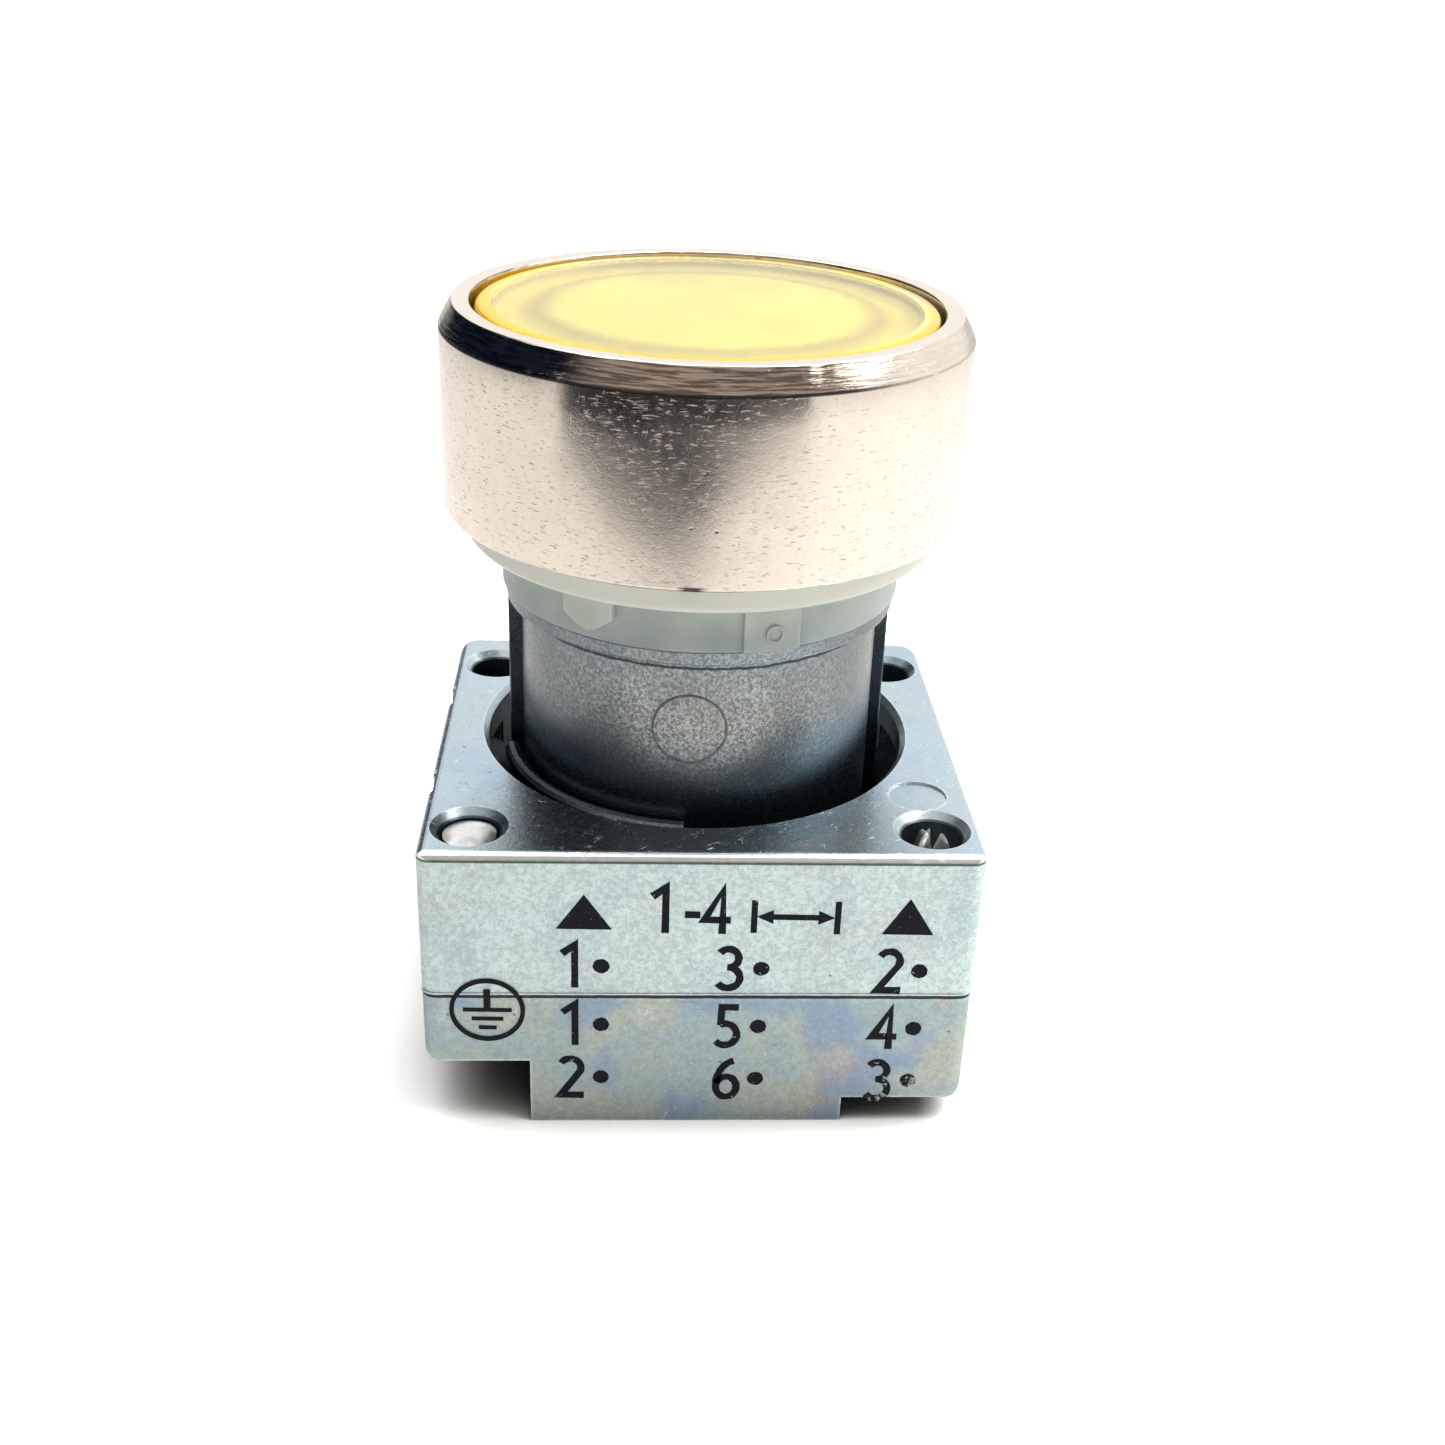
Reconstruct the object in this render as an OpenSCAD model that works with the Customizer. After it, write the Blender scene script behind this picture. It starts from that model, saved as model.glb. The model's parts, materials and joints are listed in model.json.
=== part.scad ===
// Flush illuminated push button for a 22 mm panel hole, standing in its die-cast holder.
// Z = 0 is the plane in which the gasket meets the panel, +Z is the front of the panel,
// the Z axis is the button's axis and -Y is the side of the holder that carries the print.

/* [Panel interface] */
// Diameter of the gasket collar that fills the panel hole
collar_d = 22; // [18:0.1:30]
// Depth of the gasket collar behind the seat
collar_h = 2.9; // [2:0.1:4]
// Distance from the panel seat down to the holder's top face
clamp_gap = 12.3; // [9:0.1:18]

/* [Front ring] */
// Distance of the ring's bore outside the collar
bore_step = 1.35; // [1.3:0.05:2.5]
// Wall of the front ring around the lens
ring_wall = 1.65; // [1:0.05:4]
// Height of the front ring
ring_h = 10.8; // [10.2:0.1:16]
// Height of the chamfer at the front edge
chamfer_h = 1.25; // [0.4:0.05:2]
// Width of the chamfer at the front edge
chamfer_w = 0.7; // [0.2:0.05:0.9]
// Thickness of the floor that rests on the gasket
ring_floor_t = 1.2; // [1:0.1:1.5]

/* [Gasket and seals] */
// Thickness of the gasket's flange
gasket_t = 1.6; // [1:0.1:2.4]
// Width of the gasket's flange outside the collar
gasket_lip = 1.85; // [1:0.05:2.2]
// Wall of the gasket's collar
gasket_wall = 0.95; // [0.6:0.05:1.2]
// Thickness of the O-ring's section
o_ring_t = 0.7; // [0.5:0.05:0.8]
// Wall of the diaphragm seal
diaphragm_wall = 0.7; // [0.4:0.1:0.8]
// Height of the diaphragm seal with the button pressed
diaphragm_pressed_h = 0.8; // [0.6:0.1:1.2]

/* [Sleeve] */
// Wall of the sleeve
sleeve_wall = 1.3; // [1.1:0.05:1.8]
// Height of the cast band under the gasket collar
band_h = 0.8; // [0.4:0.1:1.2]
// Distance of the band and the side ribs inside the panel hole's wall
band_inset = 0.2; // [0.05:0.05:0.3]
// Angle from the front at which a side rib starts
rib_start = 88; // [86:1:94]
// Angle that a side rib spans
rib_span = 16; // [8:1:18]
// Distance of a rib's lower end from the sleeve's lower end
rib_foot = 2.5; // [2.2:0.1:6]

/* [Button] */
// Distance that the button travels
press_travel = 3.6; // [2:0.1:4.4]
// Distance of the lens's face behind the front of the ring
lens_inset = 0.2; // [0:0.05:0.6]
// Clearance around the lens
lens_gap = 0.25; // [0.15:0.01:0.4]
// Thickness of the lens's face
lens_t = 1.1; // [0.8:0.1:1.4]
// Wall of the lens's skirt
lens_wall = 0.75; // [0.5:0.05:0.8]
// Clearance of the pressed lens above the ring's floor
skirt_gap = 1.4; // [0.4:0.1:2]
// Thickness of the diffuser disc
diffuser_t = 1.6; // [1:0.1:1.8]
// Width of the step around the diffuser's raised centre
diffuser_step = 2.25; // [1:0.05:4]
// Diameter of the carrier's stem
stem_d = 12; // [10:0.1:12.6]
// Wall of the stem around its light channel
stem_wall = 2.1; // [1.6:0.1:2.8]
// Distance that the pusher bar's ears stand out of the stem
pusher_ear = 0.6; // [0.2:0.1:0.8]
// Width of the pusher bar
pusher_w = 4.4; // [3:0.1:6]
// Thickness of the pusher bar
pusher_t = 2; // [1.2:0.1:2.4]

/* [Spring and guide] */
// Wire diameter of the return spring
wire_d = 0.8; // [0.5:0.05:0.95]
// Number of coils
spring_turns = 5; // [3:1:6]
// Height of the guide bush
bush_h = 14.4; // [8:0.1:15]

/* [Holder] */
// Clearance between the holder's hole and the collar's diameter, on the radius
hole_gap = 1; // [0.9:0.05:1.5]
// Wall between the hole and either side face
side_wall = 2.65; // [2.4:0.05:5]
// Wall between the hole and the printed front face
front_wall = 3.1; // [2.6:0.05:6]
// Distance that the hole breaks out through the rear face
rear_breakout = 0.2; // [0:0.05:0.6]
// Height of the holder
holder_h = 17; // [14:0.1:22]
// Height of the seat under the sleeve above the holder's base
seat_h = 7; // [6.6:0.1:8.5]
// Clearance under the sleeve's lower end
seat_gap = 0.3; // [0.1:0.05:0.6]
// Thickness of the plate under the sleeve
plate_t = 2; // [1:0.1:2.2]
// Width of the cut-out where the hole opens to the rear
rear_slot_w = 11; // [10:0.5:14]
// Radius of the front corners
front_corner_r = 0.8; // [0.4:0.1:1.4]
// Radius of the rear corners
back_corner_r = 2; // [0.5:0.1:2.4]
// Radius of the upper edges
edge_r = 0.5; // [0.2:0.05:0.8]
// Height of the mould's parting line above the base
parting_h = 8.4; // [7:0.1:10]

/* [Holder foot] */
// Height of the recess at the left foot
left_foot_h = 4.1; // [3.6:0.1:4.8]
// Width of the recess at the left foot
left_foot_w = 5.65; // [5.4:0.05:6.2]
// Height of the recess at the right foot
right_foot_h = 1.6; // [0.8:0.1:2.4]
// Width of the recess at the right foot
right_foot_w = 6.65; // [6.4:0.05:6.8]
// Thickness of the walls around the module bays
bay_wall = 1.1; // [0.8:0.1:1.2]

/* [Holes and screws] */
// Distance of the corner holes from the side faces
hole_side = 2.55; // [2.4:0.05:2.8]
// Distance of the front corner holes from the front face
hole_front = 2.9; // [2.6:0.05:3.4]
// Distance of the rear corner holes from the rear face
hole_back = 3.9; // [3:0.05:4.4]
// Diameter of the corner holes
corner_hole_d = 3.2; // [2.6:0.1:3.4]
// Width of the countersink around a corner hole
mouth_lip = 0.45; // [0.2:0.05:0.6]
// Running clearance between a clamp screw and its hole
screw_gap = 0.08; // [0.03:0.01:0.1]
// Difference between the holder's height and the length of the clamp screws
screw_short = 5; // [4.6:0.1:7]
// Thread pitch of the clamp screws
screw_pitch = 0.5; // [0.4:0.1:0.8]
// Distance of the left screw's tip under the holder's top face
left_tip_drop = 0.5; // [0.2:0.1:2]
// Distance of the right screw's tip under the holder's top face
right_tip_drop = 2.4; // [0.2:0.1:2.6]
// Diameter of the earth screw's thread
earth_d = 2.5; // [2:0.1:3]
// Diameter of the earth screw's head
earth_head_d = 4.4; // [3.6:0.1:4.6]
// Distance of the earth screw from the left face
earth_side = 2.9; // [2.7:0.05:3]
// Distance of the earth screw in front of the axis
earth_front = 3.4; // [2:0.1:6]

/* [Hidden] */
$fn = 96;
eps = 0.1;
fit_gap = 0.05;
edge_steps = 6;

// Radii of the head, from the panel hole inwards
collar_r = collar_d / 2;
gasket_r = collar_r + gasket_lip;
band_r = collar_r - band_inset;
neck_hole_r = collar_r - gasket_wall + fit_gap;
sleeve_r = neck_hole_r - 2 * fit_gap;
bore_r = sleeve_r - sleeve_wall;
clip_depth = 0.6;
clip_lip = 1.2;
o_ring_r = sleeve_r - o_ring_t / 2;

// Radii of the front ring and the button inside it
ring_bore_r = collar_r + bore_step;
ring_r = ring_bore_r + ring_wall;
lens_r = ring_bore_r - lens_gap;
lens_inner_r = lens_r - lens_wall;
stack_r = lens_inner_r - 2 * fit_gap;
stem_r = stem_d / 2;
channel_r = stem_r - stem_wall;
spring_r = (stem_r + bore_r) / 2;

// Heights above the panel seat
clip_t = 0.6;
ring_floor_top = gasket_t + ring_floor_t;
o_ring_z = gasket_t + ring_floor_t / 2;
neck_top = ring_floor_top + clip_t + 0.2;
ring_top = gasket_t + ring_h;
lens_top = ring_top - lens_inset;
skirt_bottom = ring_floor_top + press_travel + skirt_gap;
diffuser_top = lens_top - lens_t - fit_gap;
carrier_top = diffuser_top - diffuser_t - fit_gap;
carrier_bottom = neck_top + press_travel + diaphragm_pressed_h;

// Heights below it
band_top = -collar_h;
band_bottom = band_top - band_h;
holder_top = -clamp_gap;
holder_base = holder_top - holder_h;
plate_top = holder_base + seat_h;
plate_bottom = plate_top - plate_t;
notch_top = holder_base + left_foot_h;
sleeve_bottom = plate_top + seat_gap;
rib_bottom = sleeve_bottom + rib_foot;
rib_root = 0.5;
bush_bottom = sleeve_bottom + 0.2;
bush_top = bush_bottom + bush_h;
bush_gap = 0.06;
stem_clip_depth = 0.7;
stem_clip_lip = 0.6;
stem_clip_top = bush_bottom - fit_gap;
stem_clip_bottom = stem_clip_top - clip_t;
stem_bottom = stem_clip_bottom - 0.8;

// The holder's plan
hole_r = collar_r + hole_gap;
hole_chamfer = 0.3;
half_w = hole_r + side_wall;
front_y = -hole_r - front_wall;
back_y = hole_r - rear_breakout;
left_foot_x = left_foot_w - half_w;
right_foot_x = half_w - right_foot_w;
holes_x = half_w - hole_side;
front_holes_y = front_y + hole_front;
back_holes_y = back_y - hole_back;
plate_hole_r = stem_r + pusher_ear + 0.8;

// Guide ring and latch springs around the sleeve's foot
lock_r = sleeve_r + 0.15;
lock_wall = 1;
lock_low_h = 2;
lock_flange_h = 0.8;
lock_cam_drop = 0.6;
lock_cam_start = 5;
lock_cam_end = 82;
cam_inset = 0.03;
latch_t = 0.35;
latch_h = 4.2;
latch_w = 4.2;
latch_y = 1.1;
latch_z = (plate_top + lock_low_h + holder_top) / 2;
latch_gap = 0.12;
pocket_depth = 1.25;

// Screws
screw_r = corner_hole_d / 2 - screw_gap;
screw_l = holder_h - screw_short;
screw_root = 0.2;
screw_slot_w = 0.6;
screw_slot_depth = 1.2;
earth_x = earth_side - half_w;
earth_washer_t = 0.8;
earth_head_h = 1.7;
earth_thread_l = seat_h - left_foot_h - 0.6;

// Small marks that the casting's tools left
ejector_d = 3.2;
ejector_depth = 0.12;
ejector_x = holes_x - 0.25;
ejector_y = front_holes_y + 3.6;
dent_w = 2.4;
dent_depth = 0.25;
dent_h = 1.6;
witness_w = 0.06;
witness_h = 0.14;

// Points of an arc around c, from angle a0 to a1
function arc(c, r, a0, a1) =
    [for (i = [0 : edge_steps]) c + r * [cos(a0 + (a1 - a0) * i / edge_steps),
                                         sin(a0 + (a1 - a0) * i / edge_steps)]];

// A ring of rectangular section from z0 to z1
module ring_section(r0, r1, z0, z1) {
    rotate_extrude()
        translate([r0, z0])
            square([r1 - r0, z1 - z0]);
}

// A ring that spans part of a turn, counted from the front (-Y) towards the left (-X)
module front_sector(start, span) {
    rotate([0, 0, 270 - start - span])
        rotate_extrude(angle = span)
            children();
}

module both_sides() {
    children();
    mirror([1, 0, 0])
        children();
}

module front_ring() color("gainsboro") {
    r = ring_r;
    bore = ring_bore_r;
    rotate_extrude()
        polygon([[neck_hole_r, gasket_t], [r - 0.15, gasket_t], [r, gasket_t + 0.15],
                 [r, ring_top - chamfer_h], [r - chamfer_w, ring_top], [bore + 0.1, ring_top],
                 [bore, ring_top - 0.1], [bore, ring_floor_top], [neck_hole_r, ring_floor_top]]);
}

module panel_gasket() color("honeydew") {
    r = gasket_r;
    rotate_extrude()
        polygon([[neck_hole_r, band_top], [collar_r, band_top], [collar_r, 0], [r - 0.15, 0],
                 [r, 0.15], [r, gasket_t], [neck_hole_r, gasket_t]]);
}

module side_rib() {
    front_sector(rib_start, rib_span)
        translate([sleeve_r - rib_root, rib_bottom])
            square([rib_root + band_r - sleeve_r - fit_gap, band_bottom - rib_bottom + band_h / 2]);
}

module head_sleeve() color("slategray") {
    difference() {
        union() {
            ring_section(bore_r, sleeve_r, sleeve_bottom, neck_top);
            ring_section(bore_r, band_r, band_bottom, band_top);
            both_sides()
                side_rib();
        }
        ring_section(sleeve_r - clip_depth, sleeve_r + 1, ring_floor_top, ring_floor_top + clip_t);
        ring_section(o_ring_r - o_ring_t / 2 - fit_gap, sleeve_r + 1,
                     o_ring_z - o_ring_t / 2 - fit_gap, o_ring_z + o_ring_t / 2 + fit_gap);
    }
}

// Split spring ring that holds the front ring on the sleeve's neck
module neck_clip() color("silver") {
    gap = 14;
    rotate([0, 0, 90 + gap / 2])
        rotate_extrude(angle = 360 - gap)
            translate([sleeve_r - clip_depth + fit_gap, ring_floor_top])
                square([clip_lip + clip_depth - fit_gap, clip_t - fit_gap]);
}

module sleeve_o_ring() color("dimgray") {
    rotate_extrude()
        translate([o_ring_r, o_ring_z])
            circle(d = o_ring_t);
}

// Rubber bellows between the sleeve's neck and the carrier
module diaphragm_seal() color("darkslategray") {
    r0 = bore_r + 0.25;
    r1 = sleeve_r - 0.2;
    z0 = neck_top;
    z1 = carrier_bottom;
    zm = (z0 + z1) / 2;
    rotate_extrude()
        polygon([[r0, z0], [r1, z0], [r1 + 0.9, zm], [r1, z1], [r1 - diaphragm_wall, z1],
                 [r1 + 0.9 - diaphragm_wall, zm], [r1 - diaphragm_wall, z0 + diaphragm_wall],
                 [r0, z0 + diaphragm_wall]]);
}

module guide_bush() color("ivory") {
    ring_section(stem_r + bush_gap, bore_r - fit_gap, bush_bottom, bush_top);
}

// The spring as closed coils, one ring a turn
module return_spring() color("lightsteelblue") {
    z0 = bush_top + wire_d / 2;
    z1 = carrier_bottom - wire_d / 2;
    for (i = [0 : spring_turns])
        rotate_extrude()
            translate([spring_r, z0 + (z1 - z0) * i / spring_turns])
                circle(d = wire_d);
}

module button_lens() color("gold", 0.8) {
    edge = 0.25;
    rotate_extrude()
        polygon([[0, lens_top - lens_t], [lens_inner_r, lens_top - lens_t],
                 [lens_inner_r, skirt_bottom], [lens_r, skirt_bottom],
                 [lens_r, lens_top - edge], [lens_r - edge, lens_top], [0, lens_top]]);
}

module diffuser_disc() color("lemonchiffon") {
    step = 0.5;
    centre_r = stack_r - diffuser_step;
    rotate_extrude()
        polygon([[0, diffuser_top - diffuser_t], [stack_r, diffuser_top - diffuser_t],
                 [stack_r, diffuser_top - step], [centre_r + step, diffuser_top - step],
                 [centre_r, diffuser_top], [0, diffuser_top]]);
}

module button_carrier() color("whitesmoke") {
    difference() {
        union() {
            ring_section(channel_r, stack_r, carrier_bottom, carrier_top);
            ring_section(channel_r, stem_r, stem_bottom, carrier_bottom + eps);
        }
        ring_section(stem_r - stem_clip_depth, stem_r + 1, stem_clip_bottom, stem_clip_top);
    }
}

// Split spring ring that stops the stem under the guide bush
module plunger_clip() color("silver") {
    gap = 60;
    rotate([0, 0, 90 + gap / 2])
        rotate_extrude(angle = 360 - gap)
            translate([stem_r - stem_clip_depth + fit_gap, stem_clip_bottom + fit_gap / 2])
                square([stem_clip_depth + stem_clip_lip - fit_gap, clip_t - fit_gap]);
}

module pusher_bar() color("seashell") {
    difference() {
        translate([0, 0, stem_bottom - pusher_t])
            union() {
                translate([-stem_r - pusher_ear, -pusher_w / 2, 0])
                    cube([2 * (stem_r + pusher_ear), pusher_w, pusher_t]);
                cylinder(r = stem_r, h = pusher_t);
            }
        translate([0, 0, stem_bottom - pusher_t - eps])
            cylinder(r = channel_r, h = pusher_t + 2 * eps);
    }
}

// Outline of the holder seen from above, grown outwards by extra
module holder_plan(extra = 0) {
    x = half_w + extra;
    y0 = front_y - extra;
    y1 = back_y + extra;
    f = front_corner_r;
    b = back_corner_r;
    polygon(concat(arc([x - f, y0 + f], f, -90, 0), arc([x - b, y1 - b], b, 0, 90),
                   arc([-x + b, y1 - b], b, 90, 180), arc([-x + f, y0 + f], f, 180, 270)));
}

// Outline of the holder seen from the front, with its stepped foot
module holder_front_view() {
    x = half_w;
    e = edge_r;
    c = front_corner_r;
    polygon(concat([[left_foot_x, holder_base], [right_foot_x, holder_base],
                    [right_foot_x, holder_base + right_foot_h]],
                   arc([x - c, holder_base + right_foot_h + c], c, -90, 0),
                   arc([x - e, holder_top - e], e, 0, 90),
                   arc([-x + e, holder_top - e], e, 90, 180),
                   arc([-x + c, notch_top + c], c, 180, 270),
                   [[left_foot_x, notch_top]]));
}

// Outline of the holder seen from the side, as [y, z]
module holder_side_view() {
    e = edge_r;
    polygon(concat([[front_y, holder_base], [back_y, holder_base]],
                   arc([back_y - e, holder_top - e], e, 0, 90),
                   arc([front_y + e, holder_top - e], e, 90, 180)));
}

module holder_block() {
    depth = back_y - front_y + 2;
    intersection() {
        translate([0, 0, holder_base])
            linear_extrude(holder_h)
                holder_plan();
        translate([0, back_y + 1, 0])
            rotate([90, 0, 0])
                linear_extrude(depth)
                    holder_front_view();
        translate([-half_w - 1, 0, 0])
            rotate([90, 0, 90])
                linear_extrude(2 * half_w + 2)
                    holder_side_view();
    }
    // witness line that the mould leaves around the casting
    translate([0, 0, holder_base + parting_h])
        linear_extrude(witness_h)
            holder_plan(witness_w);
}

module corner_hole(x, y) {
    translate([x, y, holder_base - eps])
        cylinder(d = corner_hole_d, h = holder_h + 2 * eps);
    translate([x, y, holder_top - mouth_lip])
        cylinder(d1 = corner_hole_d, d2 = corner_hole_d + 2 * (mouth_lip + eps), h = mouth_lip + eps);
}

// Recess in the hole's wall that holds a latch spring on the left
module latch_pocket() {
    translate([-hole_r - pocket_depth, latch_y - latch_w / 2 - 0.2, latch_z - latch_h / 2 - 0.2])
        cube([pocket_depth + 1, latch_w + 0.4, latch_h + 0.4]);
}

module holder_body() color("lightslategray") {
    bay_x0 = left_foot_x + bay_wall;
    bay_x1 = right_foot_x - bay_wall;
    bay_y0 = front_y + bay_wall + 1;
    bay_y1 = back_y - bay_wall - 0.8;
    side_x1 = half_w - bay_wall - 0.7;
    side_w = side_x1 - right_foot_x;
    side_y0 = front_holes_y + corner_hole_d;
    side_y1 = back_holes_y - corner_hole_d;
    difference() {
        holder_block();
        translate([0, 0, plate_top])
            cylinder(r = hole_r, h = holder_h);
        translate([0, 0, holder_top - hole_chamfer])
            cylinder(r1 = hole_r, r2 = hole_r + hole_chamfer + eps, h = hole_chamfer + eps);
        translate([0, 0, plate_bottom - eps])
            cylinder(r = plate_hole_r, h = plate_t + 2 * eps);
        translate([-rear_slot_w / 2, 0, plate_top])
            cube([rear_slot_w, back_y + 1, holder_h]);
        translate([bay_x0, bay_y0, holder_base - eps])
            cube([bay_x1 - bay_x0, bay_y1 - bay_y0, plate_bottom - holder_base + eps]);
        translate([right_foot_x, side_y0, holder_base - eps])
            cube([side_w, side_y1 - side_y0, plate_bottom - holder_base + eps]);
        for (side = [-1, 1]) {
            corner_hole(side * holes_x, front_holes_y);
            corner_hole(side * holes_x, back_holes_y);
        }
        both_sides()
            latch_pocket();
        translate([earth_x, -earth_front, notch_top - eps])
            cylinder(d = earth_d + 2 * fit_gap, h = earth_thread_l + 0.2 + eps);
        translate([ejector_x, ejector_y, holder_top - ejector_depth])
            cylinder(d = ejector_d, h = 1);
        // shallow dents that trimming the casting left in its left edge
        for (y = [-7.2, 3.5])
            translate([-half_w - 1, y - dent_w / 2, holder_top - dent_h])
                cube([1 + dent_depth, dent_w, dent_h + 1]);
    }
}

// Guide ring around the sleeve's foot, with a raised cam at the front left
module lock_ring() color("darkgray") {
    cam_r0 = lock_r + cam_inset;
    cam_r1 = lock_r + lock_wall - cam_inset;
    round_r = (cam_r1 - cam_r0) / 2;
    cam_top = holder_top - lock_cam_drop - round_r;
    ring_section(lock_r, lock_r + lock_wall, plate_top, plate_top + lock_low_h);
    ring_section(lock_r + lock_wall / 2, hole_r - fit_gap, plate_top, plate_top + lock_flange_h);
    front_sector(lock_cam_start, lock_cam_end - lock_cam_start)
        polygon(concat([[cam_r0, plate_top + lock_flange_h], [cam_r1, plate_top + lock_flange_h]],
                       arc([cam_r0 + round_r, cam_top], round_r, 0, 180)));
}

// Bent leaf in its pocket, on the left
module latch_leaf() {
    bow = hole_r + pocket_depth - fit_gap - band_r - latch_gap;
    translate([-hole_r - pocket_depth + fit_gap, latch_y + latch_w / 2, latch_z - latch_h / 2])
        rotate([90, 0, 0])
            linear_extrude(latch_w)
                polygon([[0, 0], [latch_t, 0], [bow, latch_h / 2 - latch_t], [bow, latch_h / 2 + latch_t],
                         [latch_t, latch_h], [0, latch_h], [bow - latch_t * 1.3, latch_h / 2]]);
}

module left_latch_spring() color("lightsteelblue") latch_leaf();

module right_latch_spring() color("lightsteelblue") mirror([1, 0, 0]) latch_leaf();

// Headless screw whose tip stands at z = 0, with a slot in its lower end
module clamp_screw() {
    turns = floor((screw_l - 1) / screw_pitch);
    tip_r = screw_r - screw_root;
    top = -0.3;
    difference() {
        rotate_extrude()
            polygon(concat([[0, -screw_l], [tip_r, -screw_l]],
                           [for (i = [0 : turns * 2])
                                [i % 2 == 0 ? tip_r : screw_r,
                                 top - (turns * 2 - i) * screw_pitch / 2]],
                           [[tip_r - 0.1, 0], [0, 0]]));
        translate([-screw_r - 1, -screw_slot_w / 2, -screw_l - eps])
            cube([2 * screw_r + 2, screw_slot_w, screw_slot_depth + eps]);
    }
}

module left_clamp_screw() color("silver")
    translate([-holes_x, front_holes_y, holder_top - left_tip_drop])
        clamp_screw();

module right_clamp_screw() color("silver")
    translate([holes_x, front_holes_y, holder_top - right_tip_drop])
        clamp_screw();

module earth_screw() color("goldenrod") {
    slot_w = 0.7;
    head_top = notch_top - earth_washer_t;
    translate([earth_x, -earth_front, 0])
        difference() {
            union() {
                translate([0, 0, head_top - earth_head_h])
                    cylinder(d = earth_head_d, h = earth_head_h);
                translate([0, 0, head_top - eps])
                    cylinder(d = earth_d, h = earth_washer_t + earth_thread_l + eps);
            }
            translate([-earth_head_d, -slot_w / 2, head_top - earth_head_h - eps])
                cube([2 * earth_head_d, slot_w, slot_w + eps]);
        }
}

module earth_washer() color("khaki") {
    translate([earth_x, -earth_front, notch_top - earth_washer_t])
        difference() {
            cylinder(d = earth_head_d + 0.6, h = earth_washer_t);
            translate([0, 0, -eps])
                cylinder(d = earth_d + 2 * fit_gap, h = earth_washer_t + 2 * eps);
        }
}

front_ring();
panel_gasket();
head_sleeve();
neck_clip();
sleeve_o_ring();
diaphragm_seal();
guide_bush();
return_spring();
button_lens();
diffuser_disc();
button_carrier();
plunger_clip();
pusher_bar();
holder_body();
lock_ring();
left_latch_spring();
right_latch_spring();
left_clamp_screw();
right_clamp_screw();
earth_screw();
earth_washer();
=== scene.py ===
"""Looks of a flush illuminated push button that stands in its die-cast zinc holder.

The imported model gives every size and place. Lengths are millimetres in this file and
become metres where a mesh, a lamp or the camera is made. Z is the button's axis with the
panel seat at 0, and -Y is the side of the holder that carries the print.
"""

import json
import logging
import math
import random
from collections.abc import Callable, Sequence
from dataclasses import dataclass, field
from enum import Enum

import bmesh
import bpy
from mathutils import Matrix, Vector, noise


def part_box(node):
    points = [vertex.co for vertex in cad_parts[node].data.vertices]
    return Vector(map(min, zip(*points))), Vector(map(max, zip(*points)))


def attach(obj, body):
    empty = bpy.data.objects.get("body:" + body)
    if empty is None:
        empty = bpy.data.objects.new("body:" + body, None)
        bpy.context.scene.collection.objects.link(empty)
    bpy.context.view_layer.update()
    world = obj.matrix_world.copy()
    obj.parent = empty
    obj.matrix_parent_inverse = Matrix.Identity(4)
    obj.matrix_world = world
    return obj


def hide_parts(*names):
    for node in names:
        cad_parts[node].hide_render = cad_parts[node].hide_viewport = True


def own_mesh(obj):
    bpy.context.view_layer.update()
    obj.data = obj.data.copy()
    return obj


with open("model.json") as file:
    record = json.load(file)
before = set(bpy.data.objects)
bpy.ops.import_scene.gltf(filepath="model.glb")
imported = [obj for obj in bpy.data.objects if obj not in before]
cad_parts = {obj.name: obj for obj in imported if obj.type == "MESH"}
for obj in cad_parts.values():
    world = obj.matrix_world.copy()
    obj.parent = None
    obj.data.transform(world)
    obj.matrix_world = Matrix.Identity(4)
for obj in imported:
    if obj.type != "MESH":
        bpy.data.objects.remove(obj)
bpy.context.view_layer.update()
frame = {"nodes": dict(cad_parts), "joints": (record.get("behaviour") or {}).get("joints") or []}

log = logging.getLogger("push_button")

MM = 0.001
Colour = tuple[float, float, float]
Outline = list[tuple[float, float]]
Socket = bpy.types.NodeSocket
Piece = bpy.types.Object


class Body(Enum):
    """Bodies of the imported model."""

    HOLDER = "holder"
    HEAD = "head"
    BUTTON = "button"
    LEFT_SCREW = "left_screw"
    RIGHT_SCREW = "right_screw"


@dataclass(frozen=True)
class Span:
    """Lowest and highest corner of a CAD node, in millimetres."""

    low: Vector
    high: Vector

    @classmethod
    def of(cls, node: str) -> "Span":
        """The span of one CAD node."""
        low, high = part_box(node)
        return cls(low / MM, high / MM)


# --- Node trees -----------------------------------------------------------------------


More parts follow.
